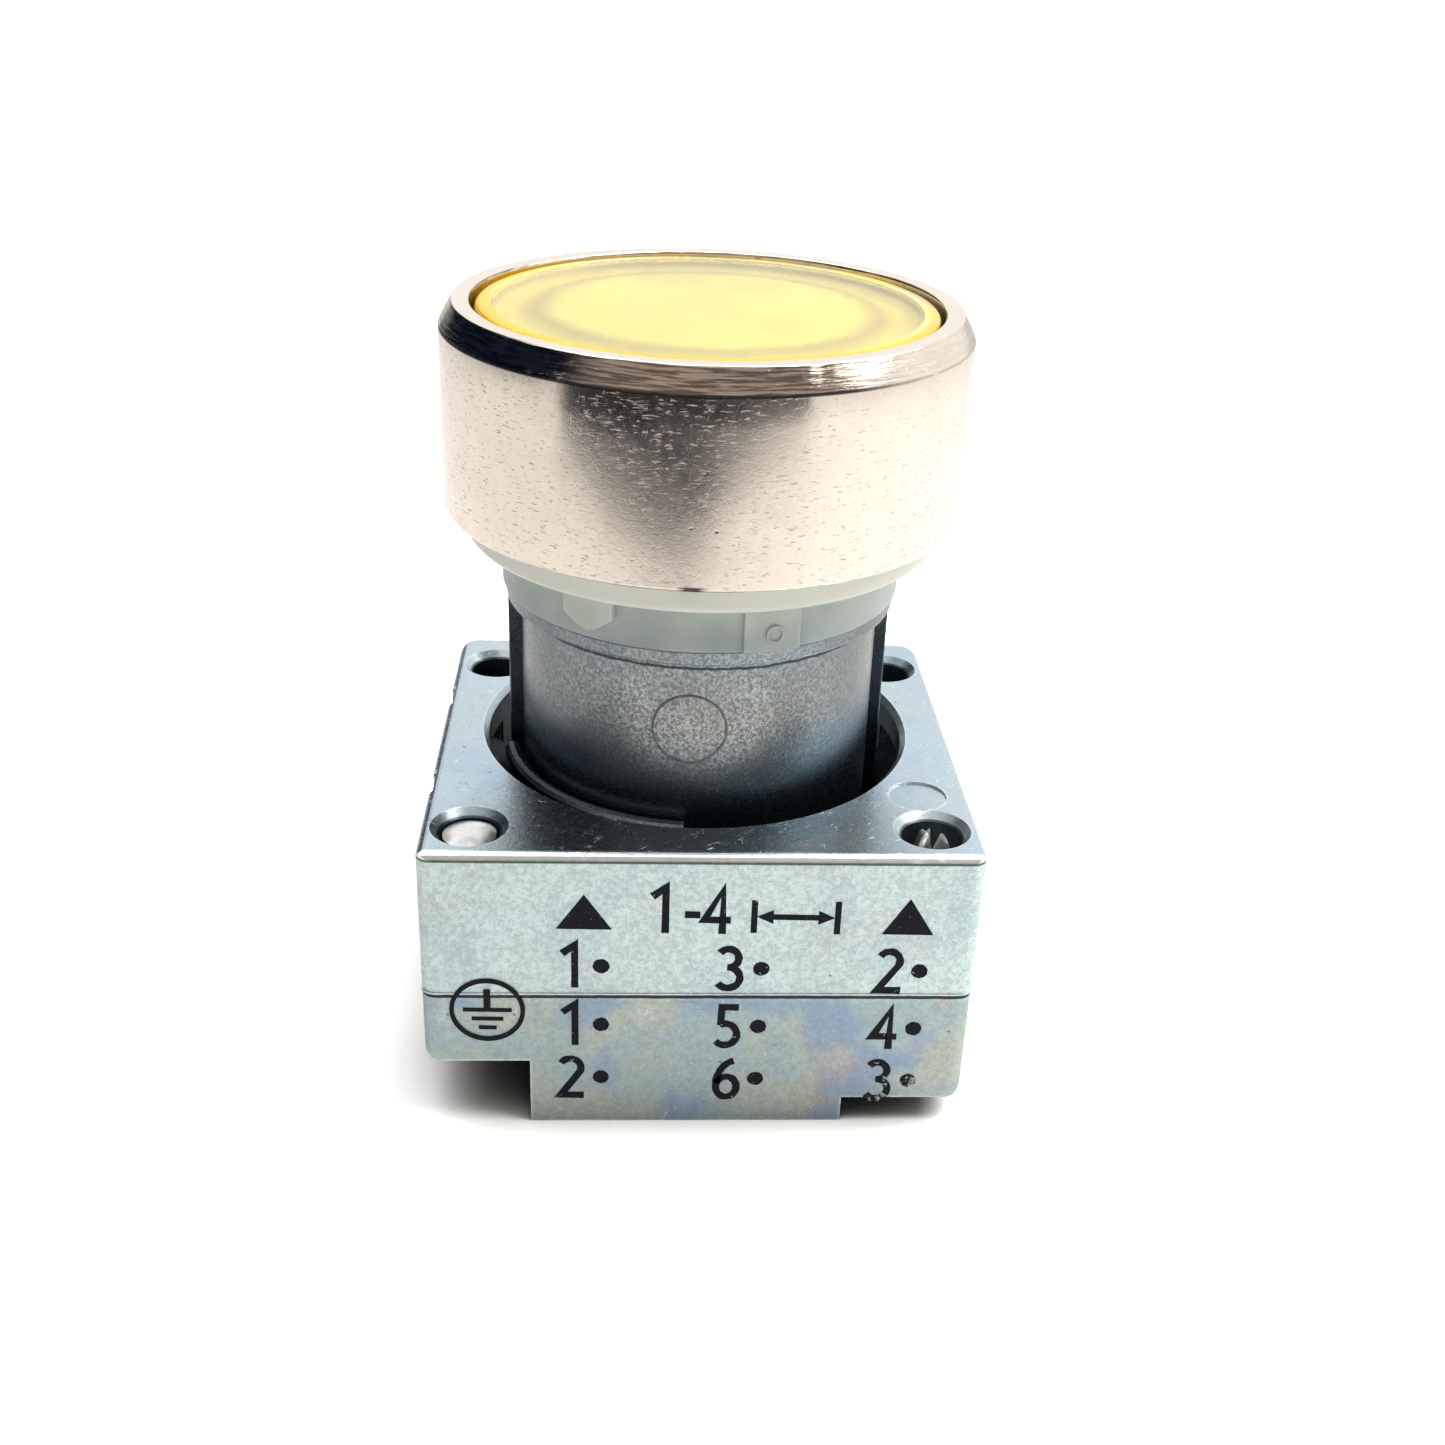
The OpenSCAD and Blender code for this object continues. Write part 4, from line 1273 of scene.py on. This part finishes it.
@dataclass
class HeadInside:
    """Spring, bellows and the other pieces hidden in the head.

    Attributes:
        spring: The return spring's CAD span.
        bellows: The diaphragm seal's CAD span.
        travel: How far the button goes down; not used.
    """

    spring: Span
    bellows: Span
    travel: float
    wire_d: float = 0.8
    turns: float = 6.5
    bellows_wall: float = 0.7
    fold_d: float = 0.45
    folds: int = 3

    def coil(self) -> Piece:
        """The return spring as a helix with closed ends."""
        radius = self.spring.high.x - self.wire_d / 2
        low = self.spring.low.z + self.wire_d / 2
        high = self.spring.high.z - self.wire_d / 2
        steps, sides = int(self.turns * 40), 10
        points = []
        for i in range(steps + 1):
            share = i / steps
            angle = math.tau * self.turns * share
            rise = min(max((share * self.turns - 0.75) / (self.turns - 1.5), 0.0), 1.0)
            for j in range(sides):
                turn = math.tau * j / sides
                r = radius + self.wire_d / 2 * math.cos(turn)
                z = low + (high - low) * rise + self.wire_d / 2 * math.sin(turn)
                points.append((r * math.cos(angle), r * math.sin(angle), z))
        faces = [[i * sides + j, (i + 1) * sides + j,
                  (i + 1) * sides + (j + 1) % sides, i * sides + (j + 1) % sides]
                 for i in range(steps) for j in range(sides)]
        faces += [list(range(sides)), list(range(steps * sides, (steps + 1) * sides))]
        return mesh_piece("return_spring_coil", points, faces, 60.0)

    def folded(self) -> Piece:
        """The diaphragm seal with its folds."""
        low, high = self.bellows.low.z, self.bellows.high.z
        out = self.bellows.high.x
        steps = self.folds * 8
        face = [(out - self.fold_d * (1 + math.cos(math.tau * self.folds * i / steps)) / 2 - 0.02,
                 low + (high - low) * i / steps) for i in range(steps + 1)]
        back = [(r - self.bellows_wall, z) for r, z in reversed(face)]
        return lathe("diaphragm_bellows", face + back, 128)

    def shorten(self, piece: Piece, span: Span) -> None:
        """Gives a piece its own copy of its mesh; the piece doesn't shorten."""
        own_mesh(piece)

    def build(self) -> None:
        """Makes the spring and the bellows, and dresses the rest."""
        self.shorten(settle(self.coil(), Body.HEAD, SPRING_STEEL, "return_spring"), self.spring)
        self.shorten(settle(self.folded(), Body.HEAD, BLACK_RUBBER, "diaphragm_seal"), self.bellows)
        dress_node("neck_clip", SPRING_STEEL)
        dress_node("sleeve_o_ring", BLACK_RUBBER)
        dress_node("guide_bush", IVORY)


# --- Button ---------------------------------------------------------------------------


@dataclass
class Button:
    """Lens, diffuser, carrier and what hangs under them.

    Attributes:
        lens: The lens's CAD span.
        disc: The diffuser's CAD span.
    """

    lens: Span
    disc: Span
    face_t: float = 1.1
    edge: float = 0.28
    wall: float = 0.8
    rim_w: float = 0.85
    gap: float = 0.005
    slope: tuple[float, float] = (8.6, 10.4)
    slope_h: float = 0.3

    def face(self) -> Piece:
        """The clear face of the lens, flush with its rim."""
        r, top = self.lens.high.x - self.rim_w - self.gap, self.lens.high.z - self.gap
        under = top - self.face_t
        return lathe("lens_face", [(0.0, top), (r * 0.5, top), (r, top),
                                   (r, under), (r * 0.5, under), (0.0, under)], 224)

    def skirt(self) -> Piece:
        """The lens's deep yellow rim and skirt, whose top edge is rounded."""
        r, low, top = self.lens.high.x, self.lens.low.z, self.lens.high.z
        edge = self.edge
        rim = [(r - edge + edge * math.sin(math.radians(a)), top - edge + edge * math.cos(math.radians(a)))
               for a in range(0, 91, 15)]
        under = top - self.face_t - 0.04
        return lathe("lens_skirt", [(r - self.wall, low), (r, low), *reversed(rim), (r - self.rim_w, top),
                                    (r - self.rim_w, under), (r - self.wall, under)], 224)

    def diffuser(self) -> Piece:
        """The milky disc with its raised centre."""
        r, low, top = self.disc.high.x, self.disc.low.z, self.disc.high.z
        start, end = self.slope
        fall = [(start + (end - start) * i / 12, top - self.slope_h * (1 - math.cos(math.pi * i / 12)) / 2)
                for i in range(13)]
        return lathe("diffuser_milky_disc", [(0.0, low), (r, low), (r, top - self.slope_h), *reversed(fall),
                                             (start / 2, top), (0.0, top)])

    def build(self) -> None:
        """Makes the lens and the diffuser, and dresses the rest."""
        settle(self.face(), Body.BUTTON, LENS, "button_lens")
        settle(self.skirt(), Body.BUTTON, LENS_SKIRT)
        settle(self.diffuser(), Body.BUTTON, DIFFUSER, "diffuser_disc")
        dress_node("button_carrier", IVORY)
        dress_node("plunger_clip", SPRING_STEEL)
        dress_node("pusher_bar", IVORY)


# --- Holder ---------------------------------------------------------------------------


class Glyph(Enum):
    """Numerals of the terminal table, as pen lines in a box one unit high."""

    ONE = "1"
    TWO = "2"
    THREE = "3"
    FOUR = "4"
    FIVE = "5"
    SIX = "6"

    def lines(self) -> list[Outline]:
        """The pen lines of the numeral."""
        if self is Glyph.ONE:
            return [[(0.10, 0.78), (0.36, 0.97), (0.36, 0.0)]]
        if self is Glyph.TWO:
            return [arc((0.26, 0.72), (0.22, 0.22), 150, -25) + [(0.05, 0.045), (0.54, 0.045)]]
        if self is Glyph.THREE:
            return [arc((0.22, 0.73), (0.21, 0.21), 145, -75), arc((0.22, 0.28), (0.25, 0.24), 95, -145)]
        if self is Glyph.FOUR:
            return [[(0.40, 0.0), (0.40, 0.95), (0.04, 0.30), (0.36, 0.30)], [(0.44, 0.30), (0.56, 0.30)]]
        if self is Glyph.FIVE:
            return [[(0.48, 0.95), (0.13, 0.95), (0.11, 0.52)], arc((0.21, 0.30), (0.25, 0.26), 118, -140)]
        return [arc((0.50, 0.34), (0.44, 0.60), 100, 176) + arc((0.28, 0.29), (0.22, 0.25), 180, 520, 24)]


@dataclass
class FrontPrint:
    """Terminal table, range and earth sign printed on the holder's front face.

    Attributes:
        face_y: Place of the front face.
        triangles: Middle, half width and height of each triangle.
        earth_bars: Drop and half width of each bar of the earth sign.
    """

    face_y: float
    tilt: float = -0.015
    ink_t: float = 0.018
    pen: float = 0.41
    narrow: float = 0.93
    digit_h: float = 2.75
    first_x: float = -7.5
    pitch_x: float = 8.4
    dot_dx: float = 2.3
    dot_r: float = 0.44
    row_z: tuple[float, ...] = (-19.15, -22.9, -26.4)
    digits: tuple[str, ...] = ("132", "154", "263")
    range_x: float = -2.85
    range_h: float = 2.85
    range_z: float = -17.0
    dash_x: tuple[float, float] = (-0.9, -0.1)
    sign_x: tuple[float, float] = (2.75, 7.0)
    arrow_z: float = -16.85
    triangles: tuple[tuple[float, float, float], ...] = ((-6.1, 1.45, 2.1), (10.78, 1.36, 2.2))
    earth: tuple[float, float] = (-11.2, -22.05)
    earth_r: float = 1.87
    earth_bars: tuple[tuple[float, float], ...] = ((0.0, 1.29), (0.57, 0.84), (1.14, 0.47))
    dice: random.Random = field(default_factory=lambda: random.Random(22))

    def lift(self, u: float, v: float, height: float) -> Sequence[float]:
        """Point of the print at (u, v) on the face, turned by the print's small tilt."""
        return u, self.face_y - height, v + self.tilt * (u - 2.0)

    def numeral(self, glyph: Glyph, x: float, z: float, height: float) -> list[tuple[list, list]]:
        """The strokes of one numeral with its lower left corner at (x, z)."""
        parts = []
        for order, line in enumerate(glyph.lines()):
            placed = [(x + u * height * self.narrow, z + v * height) for u, v in line]
            outline = stroke(placed, self.pen, self.dice)
            parts.append(slab(outline, self.lift, self.ink_t + 0.004 * order))
        return parts

    def disc(self, x: float, z: float, radius: float) -> tuple[list, list]:
        """A round dot with a slightly uneven edge."""
        outline = [(x + radius * self.dice.uniform(0.94, 1.05) * math.cos(math.tau * i / 28),
                    z + radius * self.dice.uniform(0.94, 1.05) * math.sin(math.tau * i / 28))
                   for i in range(28)]
        return slab(outline, self.lift, self.ink_t)

    def table(self) -> list[tuple[list, list]]:
        """Numerals and dots of the three rows."""
        parts = []
        for row, line in zip(self.row_z, self.digits):
            for column, character in enumerate(line):
                x = self.first_x + column * self.pitch_x
                parts += self.numeral(Glyph(character), x, row - self.digit_h / 2, self.digit_h)
                parts.append(self.disc(x + self.dot_dx, row, self.dot_r))
        return parts

    def arrows(self) -> list[tuple[list, list]]:
        """The two triangles over the outer columns."""
        parts = []
        for x, half, height in self.triangles:
            outline = [(x - half, self.arrow_z), (x + half, self.arrow_z), (x, self.arrow_z + height)]
            parts.append(slab(spaced(outline, 0.3), self.lift, self.ink_t))
        return parts

    def panel_range(self) -> list[tuple[list, list]]:
        """The range 1 to 4 with a plain dimension sign after it."""
        z, h = self.range_z, self.range_h
        left, right = self.sign_x
        middle, thin = z + 1.1, self.pen * 0.8
        parts = self.numeral(Glyph.ONE, self.range_x, z, h)
        parts.append(slab(stroke([(x, z + 1.15) for x in self.dash_x], self.pen), self.lift, self.ink_t))
        parts += self.numeral(Glyph.FOUR, 0.0, z, h)
        shaft = stroke([(left + 0.7, middle), (right - 0.7, middle)], thin)
        parts.append(slab(shaft, self.lift, self.ink_t))
        for tip, base in ((left + 0.1, left + 0.95), (right - 0.1, right - 0.95)):
            head = [(tip, middle), (base, middle + 0.42), (base, middle - 0.42)]
            parts.append(slab(head, self.lift, self.ink_t + 0.004))
        for x in (left - 0.05, right + 0.05):
            limit = stroke([(x, middle - 1.0), (x, middle + 1.0)], thin)
            parts.append(slab(limit, self.lift, self.ink_t))
        return parts

    def earth_sign(self) -> list[tuple[list, list]]:
        """The earth sign in its circle."""
        x, z = self.earth
        parts = [ring_band((x, z), self.earth_r, 0.24, self.lift, self.ink_t + 0.06, 72)]
        parts.append(slab(stroke([(x, z + 0.12), (x, z + 1.3)], 0.36), self.lift, self.ink_t + 0.06))
        for drop, half in self.earth_bars:
            bar = stroke([(x - half, z - drop), (x + half, z - drop)], 0.25)
            parts.append(slab(bar, self.lift, self.ink_t))
        return parts

    def build(self) -> None:
        """Prints everything."""
        groups = (("terminal_table", self.table()), ("column_arrows", self.arrows()),
                  ("panel_range", self.panel_range()), ("earth_sign", self.earth_sign()))
        for name, parts in groups:
            settle(joined(f"print_{name}", parts, 60.0), Body.HOLDER, INK)


@dataclass
class ScrewTip:
    """Crimped end of a clamp screw.

    Attributes:
        screw: The screw's CAD span.
        body: The body that it rides on.
        name: The piece's name.
        rise: How far the crimp stands over the screw.
        teeth: Number of its teeth, or 0 for a plain dome.
    """

    screw: Span
    body: Body
    name: str
    rise: float
    teeth: int
    segments: int = 72
    rings: int = 8

    def height(self, share: float, turn: float) -> float:
        """Height of the cap over the screw.

        Args:
            share: Place between the axis (0) and the edge (1).
            turn: Angle round the axis, in radians.

        Returns:
            The height in millimetres.
        """
        rough = noise.noise(Vector((math.cos(turn), math.sin(turn), share)) * 2.3)
        fall = 1 - share ** 4
        if self.teeth:
            crest = (0.5 + 0.5 * math.cos(self.teeth * turn + 0.7) + 0.35 * rough) * fall
        else:
            crest = fall + 0.08 * rough
        near_axis = max(0.0, 1 - 3 * share)
        return self.rise * (max(crest, 0.0) * min(1.0, 3 * share) + self.middle() * near_axis)

    def middle(self) -> float:
        """Height of the cap's middle, as a share of its rise."""
        return 0.4 if self.teeth else 1.0

    def build(self) -> None:
        """Makes the end as a small uneven cap."""
        centre = (self.screw.low + self.screw.high) / 2
        outer = (self.screw.high.x - self.screw.low.x) / 2 - 0.12
        top = self.screw.high.z
        points: list[Sequence[float]] = [(centre.x, centre.y, top - 0.1),
                                         (centre.x, centre.y, top + self.rise * self.middle())]
        for ring in range(self.rings + 1):
            share = (ring + 1) / (self.rings + 1)
            for i in range(self.segments):
                turn = math.tau * i / self.segments
                points.append((centre.x + outer * share * math.cos(turn),
                               centre.y + outer * share * math.sin(turn),
                               top + self.height(share, turn)))
        last = 2 + self.rings * self.segments
        faces = [[1, 2 + i, 2 + (i + 1) % self.segments] for i in range(self.segments)]
        faces += [[0, last + (i + 1) % self.segments, last + i] for i in range(self.segments)]
        for ring in range(self.rings):
            start = 2 + ring * self.segments
            faces += [[start + i, start + self.segments + i, start + self.segments + (i + 1) % self.segments,
                       start + (i + 1) % self.segments] for i in range(self.segments)]
        settle(mesh_piece(self.name, points, faces, 50.0), self.body, SCREW_STEEL)


@dataclass
class Holder:
    """Die-cast holder with its guide ring, latch springs and screws.

    Attributes:
        block: The holder's CAD span.
    """

    block: Span
    witness: float = 0.06
    line_z: float = -20.83
    front_r: float = 0.8
    back_r: float = 2.0
    cut_x: float = 5.6
    dice: random.Random = field(default_factory=lambda: random.Random(7))

    def plan(self, step: float) -> Outline:
        """Outline of the holder seen from above, with a point every step."""
        x0, x1 = self.block.low.x + self.witness, self.block.high.x - self.witness
        y0, y1 = self.block.low.y + self.witness, self.block.high.y - self.witness
        f, b = self.front_r, self.back_r
        corners = arc((x1 - f, y0 + f), (f, f), -90, 0, 8) + arc((x1 - b, y1 - b), (b, b), 0, 90, 10)
        corners += arc((x0 + b, y1 - b), (b, b), 90, 180, 10) + arc((x0 + f, y0 + f), (f, f), 180, 270, 8)
        return spaced(corners, step)

    def flash(self) -> Piece:
        """Thin flash the mould leaves on the parting line, round to both sides of the rear cut-out."""
        path = self.plan(0.16)
        cut = [i for i, (x, y) in enumerate(path) if y > 0 and abs(x) < self.cut_x]
        path = path[cut[-1] + 1:] + path[:cut[0]]
        count = len(path)
        points = []
        for i, (x, y) in enumerate(path):
            before, after = Vector(path[max(i - 1, 0)]), Vector(path[min(i + 1, count - 1)])
            along = (after - before).normalized()
            out = Vector((along.y, -along.x))
            rough = noise.noise(Vector((x, y, 0.0)) * 0.9) + 0.6 * noise.noise(Vector((x, y, 4.0)) * 3.1)
            proud = min(max(0.03 + 0.06 * rough, 0.005), self.witness + 0.05)
            half = 0.03 + 0.03 * self.dice.random()
            foot, tip = Vector((x, y)) - out * 0.05, Vector((x, y)) + out * proud
            points += [(foot.x, foot.y, self.line_z + half), (foot.x, foot.y, self.line_z - half),
                       (tip.x, tip.y, self.line_z + 0.02 * rough)]
        faces = [[0, 1, 2], [3 * count - 1, 3 * count - 2, 3 * count - 3]]
        for i in range(count - 1):
            faces += [[3 * i + k, 3 * i + 3 + k, 3 * i + 3 + (k + 1) % 3, 3 * i + (k + 1) % 3]
                      for k in range(3)]
        return mesh_piece("holder_parting_flash", points, faces, 30.0)

    def build(self) -> None:
        """Dresses the holder's pieces and adds the flash and the print."""
        dress_node("holder_body", HOLDER)
        dress_node("lock_ring", GUIDE_RING)
        for side in ("left", "right"):
            dress_node(f"{side}_latch_spring", BLUED_STEEL)
            dress_node(f"{side}_clamp_screw", SCREW_STEEL)
        ScrewTip(Span.of("left_clamp_screw"), Body.LEFT_SCREW, "left_screw_dome", 0.12, 0).build()
        ScrewTip(Span.of("right_clamp_screw"), Body.RIGHT_SCREW, "right_screw_crimp", 2.2, 3).build()
        dress_node("earth_screw", BRASS)
        dress_node("earth_washer", BRASS)
        settle(self.flash(), Body.HOLDER, HOLDER)
        FrontPrint(self.block.low.y + self.witness).build()


# --- Studio ---------------------------------------------------------------------------


@dataclass
class Studio:
    """White table, soft light and the camera.

    The edge_ fields shape the sheet's near edge, in millimetres and degrees from -Y. A band of the
    surroundings is given as four angles in degrees: where it starts, is full, is full for the last
    time, and ends.

    Attributes:
        floor_z: Height of the table's surface.
    """

    floor_z: float
    eye: tuple[float, float, float] = (-3.907, -87.584, 31.895)
    yaw_deg: float = 3.595
    pitch_deg: float = -26.731
    roll_deg: float = 2.278
    lens_mm: float = 41.65
    paper_albedo: float = 0.85
    paper_seen: float = 1.7
    shade_reach: float = 9.0
    edge_r: float = 97.0
    edge_bend: float = 0.014
    edge_rise: float = 1.3
    edge_mid_deg: float = -8.0
    edge_deg: tuple[float, float] = (-62.0, 39.0)
    edge_steps: int = 40
    aside_deg: tuple[float, float] = (-155.0, -70.0)
    aside_r: float = 225.0
    room: Colour = (1.08, 1.08, 1.06)
    viewer: Colour = (0.36, 0.31, 0.275)
    dark_wall: Colour = (0.002, 0.007, 0.020)
    viewer_way: tuple[float, ...] = (104.0, 124.0, 200.0, 201.0)
    viewer_rise: tuple[float, ...] = (-91.0, -90.0, 54.0, 66.0)
    wall_way: tuple[float, ...] = (-130.0, -112.0, -24.0, -14.0)
    wall_rise: tuple[float, ...] = (-91.0, -90.0, 44.0, 54.0)

    def camera(self) -> None:
        """Places the camera."""
        yaw, pitch, roll = (math.radians(a) for a in (self.yaw_deg, self.pitch_deg, self.roll_deg))
        ahead = Vector((math.sin(yaw) * math.cos(pitch), math.cos(yaw) * math.cos(pitch), math.sin(pitch)))
        right = Vector((math.cos(yaw), -math.sin(yaw), 0.0))
        up = right.cross(ahead)
        across = right * math.cos(roll) + up * math.sin(roll)
        upward = up * math.cos(roll) - right * math.sin(roll)
        turn = Matrix((across, upward, -ahead)).transposed().to_4x4()
        data = bpy.data.cameras.new("viewpoint")
        data.lens = self.lens_mm
        data.sensor_width = 36.0
        data.clip_start, data.clip_end = 0.002, 5.0
        camera = bpy.data.objects.new("viewpoint", data)
        camera.matrix_world = Matrix.Translation(Vector(self.eye) * MM) @ turn
        bpy.context.scene.collection.objects.link(camera)
        bpy.context.scene.camera = camera

    def paper(self) -> bpy.types.Material:
        """White paper that the camera sees fully lit, and that reflections show a little darker, with a
        painted contact shadow near the object.
        """
        made = bpy.data.materials.new("white_paper")
        made.use_nodes = True
        made.node_tree.nodes.clear()
        tree = Tree(made.node_tree)
        seen = tree.add("ShaderNodeLightPath").outputs["Is Camera Ray"]
        fibres = tree.between(tree.noise(tree.place(), 0.4, 3.0, 0.6), 0.97, 1.0)
        level = tree.math("MULTIPLY", tree.between(seen, self.paper_albedo, self.paper_seen), fibres)
        # Painted contact shadow: the paper darkens where the object is close above it.
        occlusion = tree.add("ShaderNodeAmbientOcclusion", {"Distance": self.shade_reach * MM}, samples=8)
        open_sky = occlusion.outputs["AO"]
        level = tree.math("MULTIPLY", level, tree.window(open_sky, 0.22, 0.72, 0.05, 1.0))
        colour = tree.add("ShaderNodeCombineColor", {0: level, 1: level, 2: level}).outputs[0]
        surface = tree.add("ShaderNodeBsdfDiffuse", {"Color": colour})
        tree.add("ShaderNodeOutputMaterial", {"Surface": surface.outputs[0]})
        return made

    def sheet(self) -> Piece:
        """The white sheet on the table."""
        size, z = 6000.0, self.floor_z
        corners = [(-size, -size, z), (size, -size, z), (size, size, z), (-size, size, z)]
        sheet = mesh_piece("white_sheet", corners, [[0, 1, 2, 3]])
        sheet.data.materials.append(self.paper())
        return sheet

    def near_edge(self, azimuth: float) -> float:
        """Distance of the sheet's near edge at an azimuth from -Y; bent on the left only."""
        turn = azimuth - self.edge_mid_deg
        return self.edge_r + (self.edge_bend * turn ** 2 if turn < 0 else self.edge_rise * turn)

    def dark_floor(self, name: str, limits_deg: tuple[float, float],
                   reach: Callable[[float], float]) -> Piece:
        """Dark floor beyond the sheet's edge, which only reflections show: partly the dark table, partly a
        painted shadow of the camera.

        Args:
            name: The piece's name.
            limits_deg: First and last azimuth, from -Y towards +X.
            reach: Distance of the sheet's edge at an azimuth.

        Returns:
            The new piece.
        """
        near, far = [], []
        for step in range(self.edge_steps + 1):
            azimuth = limits_deg[0] + (limits_deg[1] - limits_deg[0]) * step / self.edge_steps
            way = Vector((math.sin(math.radians(azimuth)), -math.cos(math.radians(azimuth))))
            near.append((*(way * reach(azimuth)), self.floor_z + 0.3))
            far.append((*(way * 900), self.floor_z + 0.3))
        dark = mesh_piece(name, near + far[::-1], [list(range(len(near) + len(far)))])
        dark.data.materials.append(self.table_and_shadow())
        dark.visible_camera = False
        dark.visible_shadow = False
        dark.visible_diffuse = False
        dark.visible_transmission = False
        return dark

    def table_and_shadow(self) -> bpy.types.Material:
        """Nearly black matt surface of the dark table and of the camera's painted shadow."""
        known = bpy.data.materials.get("dark_table_and_shadow")
        if known is not None:
            return known
        table_and_shadow = bpy.data.materials.new("dark_table_and_shadow")
        table_and_shadow.use_nodes = True
        shader = table_and_shadow.node_tree.nodes["Principled BSDF"]
        shader.inputs["Base Color"].default_value = (0.012, 0.015, 0.022, 1)
        shader.inputs["Specular IOR Level"].default_value = 0.0
        return table_and_shadow

    def lamp(self, name: str, place: Sequence[float], size: float, power: float, colour: Colour) -> None:
        """A square soft lamp that points at the object."""
        data = bpy.data.lights.new(name, "AREA")
        data.shape = "SQUARE"
        data.size = size * MM
        data.energy = power
        data.color = colour
        lamp = bpy.data.objects.new(name, data)
        lamp.location = Vector(place) * MM
        aim = Vector((0.0, 0.0, -8.0)) * MM - lamp.location
        lamp.rotation_mode = "QUATERNION"
        lamp.rotation_quaternion = aim.to_track_quat("-Z", "Y")
        bpy.context.scene.collection.objects.link(lamp)

    def sky(self) -> None:
        """White surroundings to the camera; the object also sees a dark side and the dark viewer."""
        world = bpy.data.worlds.new("studio")
        bpy.context.scene.world = world
        world.use_nodes = True
        world.node_tree.nodes.clear()
        tree = Tree(world.node_tree)
        way = tree.vector("NORMALIZE", tree.add("ShaderNodeTexCoord").outputs["Generated"])
        x, y, z = tree.axes(way)
        azimuth = tree.math("ARCTAN2", x, y)
        height = tree.math("ARCSINE", z)

        def span(value: Socket, degrees: tuple[float, ...]) -> Socket:
            """1 between the middle two of four angles, fading out to the outer two."""
            start, full, last, end = (math.radians(angle) for angle in degrees)
            return tree.math("MULTIPLY", tree.window(value, start, full), tree.window(value, end, last))

        off_axis = tree.math("ABSOLUTE", azimuth)
        front = tree.math("MULTIPLY", span(off_axis, self.viewer_way), span(height, self.viewer_rise))
        left = tree.math("MULTIPLY", span(azimuth, self.wall_way), span(height, self.wall_rise))
        room = tree.mix(left, tree.mix(front, self.room, self.viewer), self.dark_wall)
        seen = tree.add("ShaderNodeLightPath").outputs["Is Camera Ray"]
        colour = tree.mix(seen, room, (1.0, 1.0, 1.0))
        background = tree.add("ShaderNodeBackground", {"Color": colour, "Strength": 1.0})
        tree.add("ShaderNodeOutputWorld", {"Surface": background.outputs[0]})

    def build(self) -> None:
        """Sets up the table, the light and the camera."""
        self.camera()
        near = self.dark_floor("dark_floor_front", self.edge_deg, self.near_edge)
        aside = self.dark_floor("dark_floor_left", self.aside_deg, lambda azimuth: self.aside_r)
        self.sheet()
        self.sky()
        self.lamp("window", (120, 0, 170), 150, 0.45, (1.0, 0.99, 0.96))
        self.lamp("ceiling", (-60, 60, 240), 220, 0.22, (0.97, 0.99, 1.0))
        bpy.context.scene.view_settings.view_transform = "Standard"
        log.info("studio ready")


def main() -> None:
    """Builds the whole object and the studio round it."""
    logging.basicConfig(level=logging.INFO, format="%(message)s")
    ring, gasket, sleeve = Span.of("front_ring"), Span.of("panel_gasket"), Span.of("head_sleeve")
    lens, disc = Span.of("button_lens"), Span.of("diffuser_disc")
    neck_r = Span.of("sleeve_o_ring").high.x
    bore_r = Span.of("guide_bush").high.x + 0.05
    press = next(joint for joint in frame["joints"] if joint["name"] == "button_press")
    travel = press["range_m"][1] / MM
    Studio(Span.of("holder_body").low.z).build()
    FrontRing(ring, lens.high.x, neck_r).build()
    Gasket(gasket, neck_r).build()
    Sleeve(sleeve, neck_r, bore_r).build()
    HeadInside(Span.of("return_spring"), Span.of("diaphragm_seal"), travel).build()
    Button(lens, disc).build()
    Holder(Span.of("holder_body")).build()


if __name__ == "__main__":
    main()
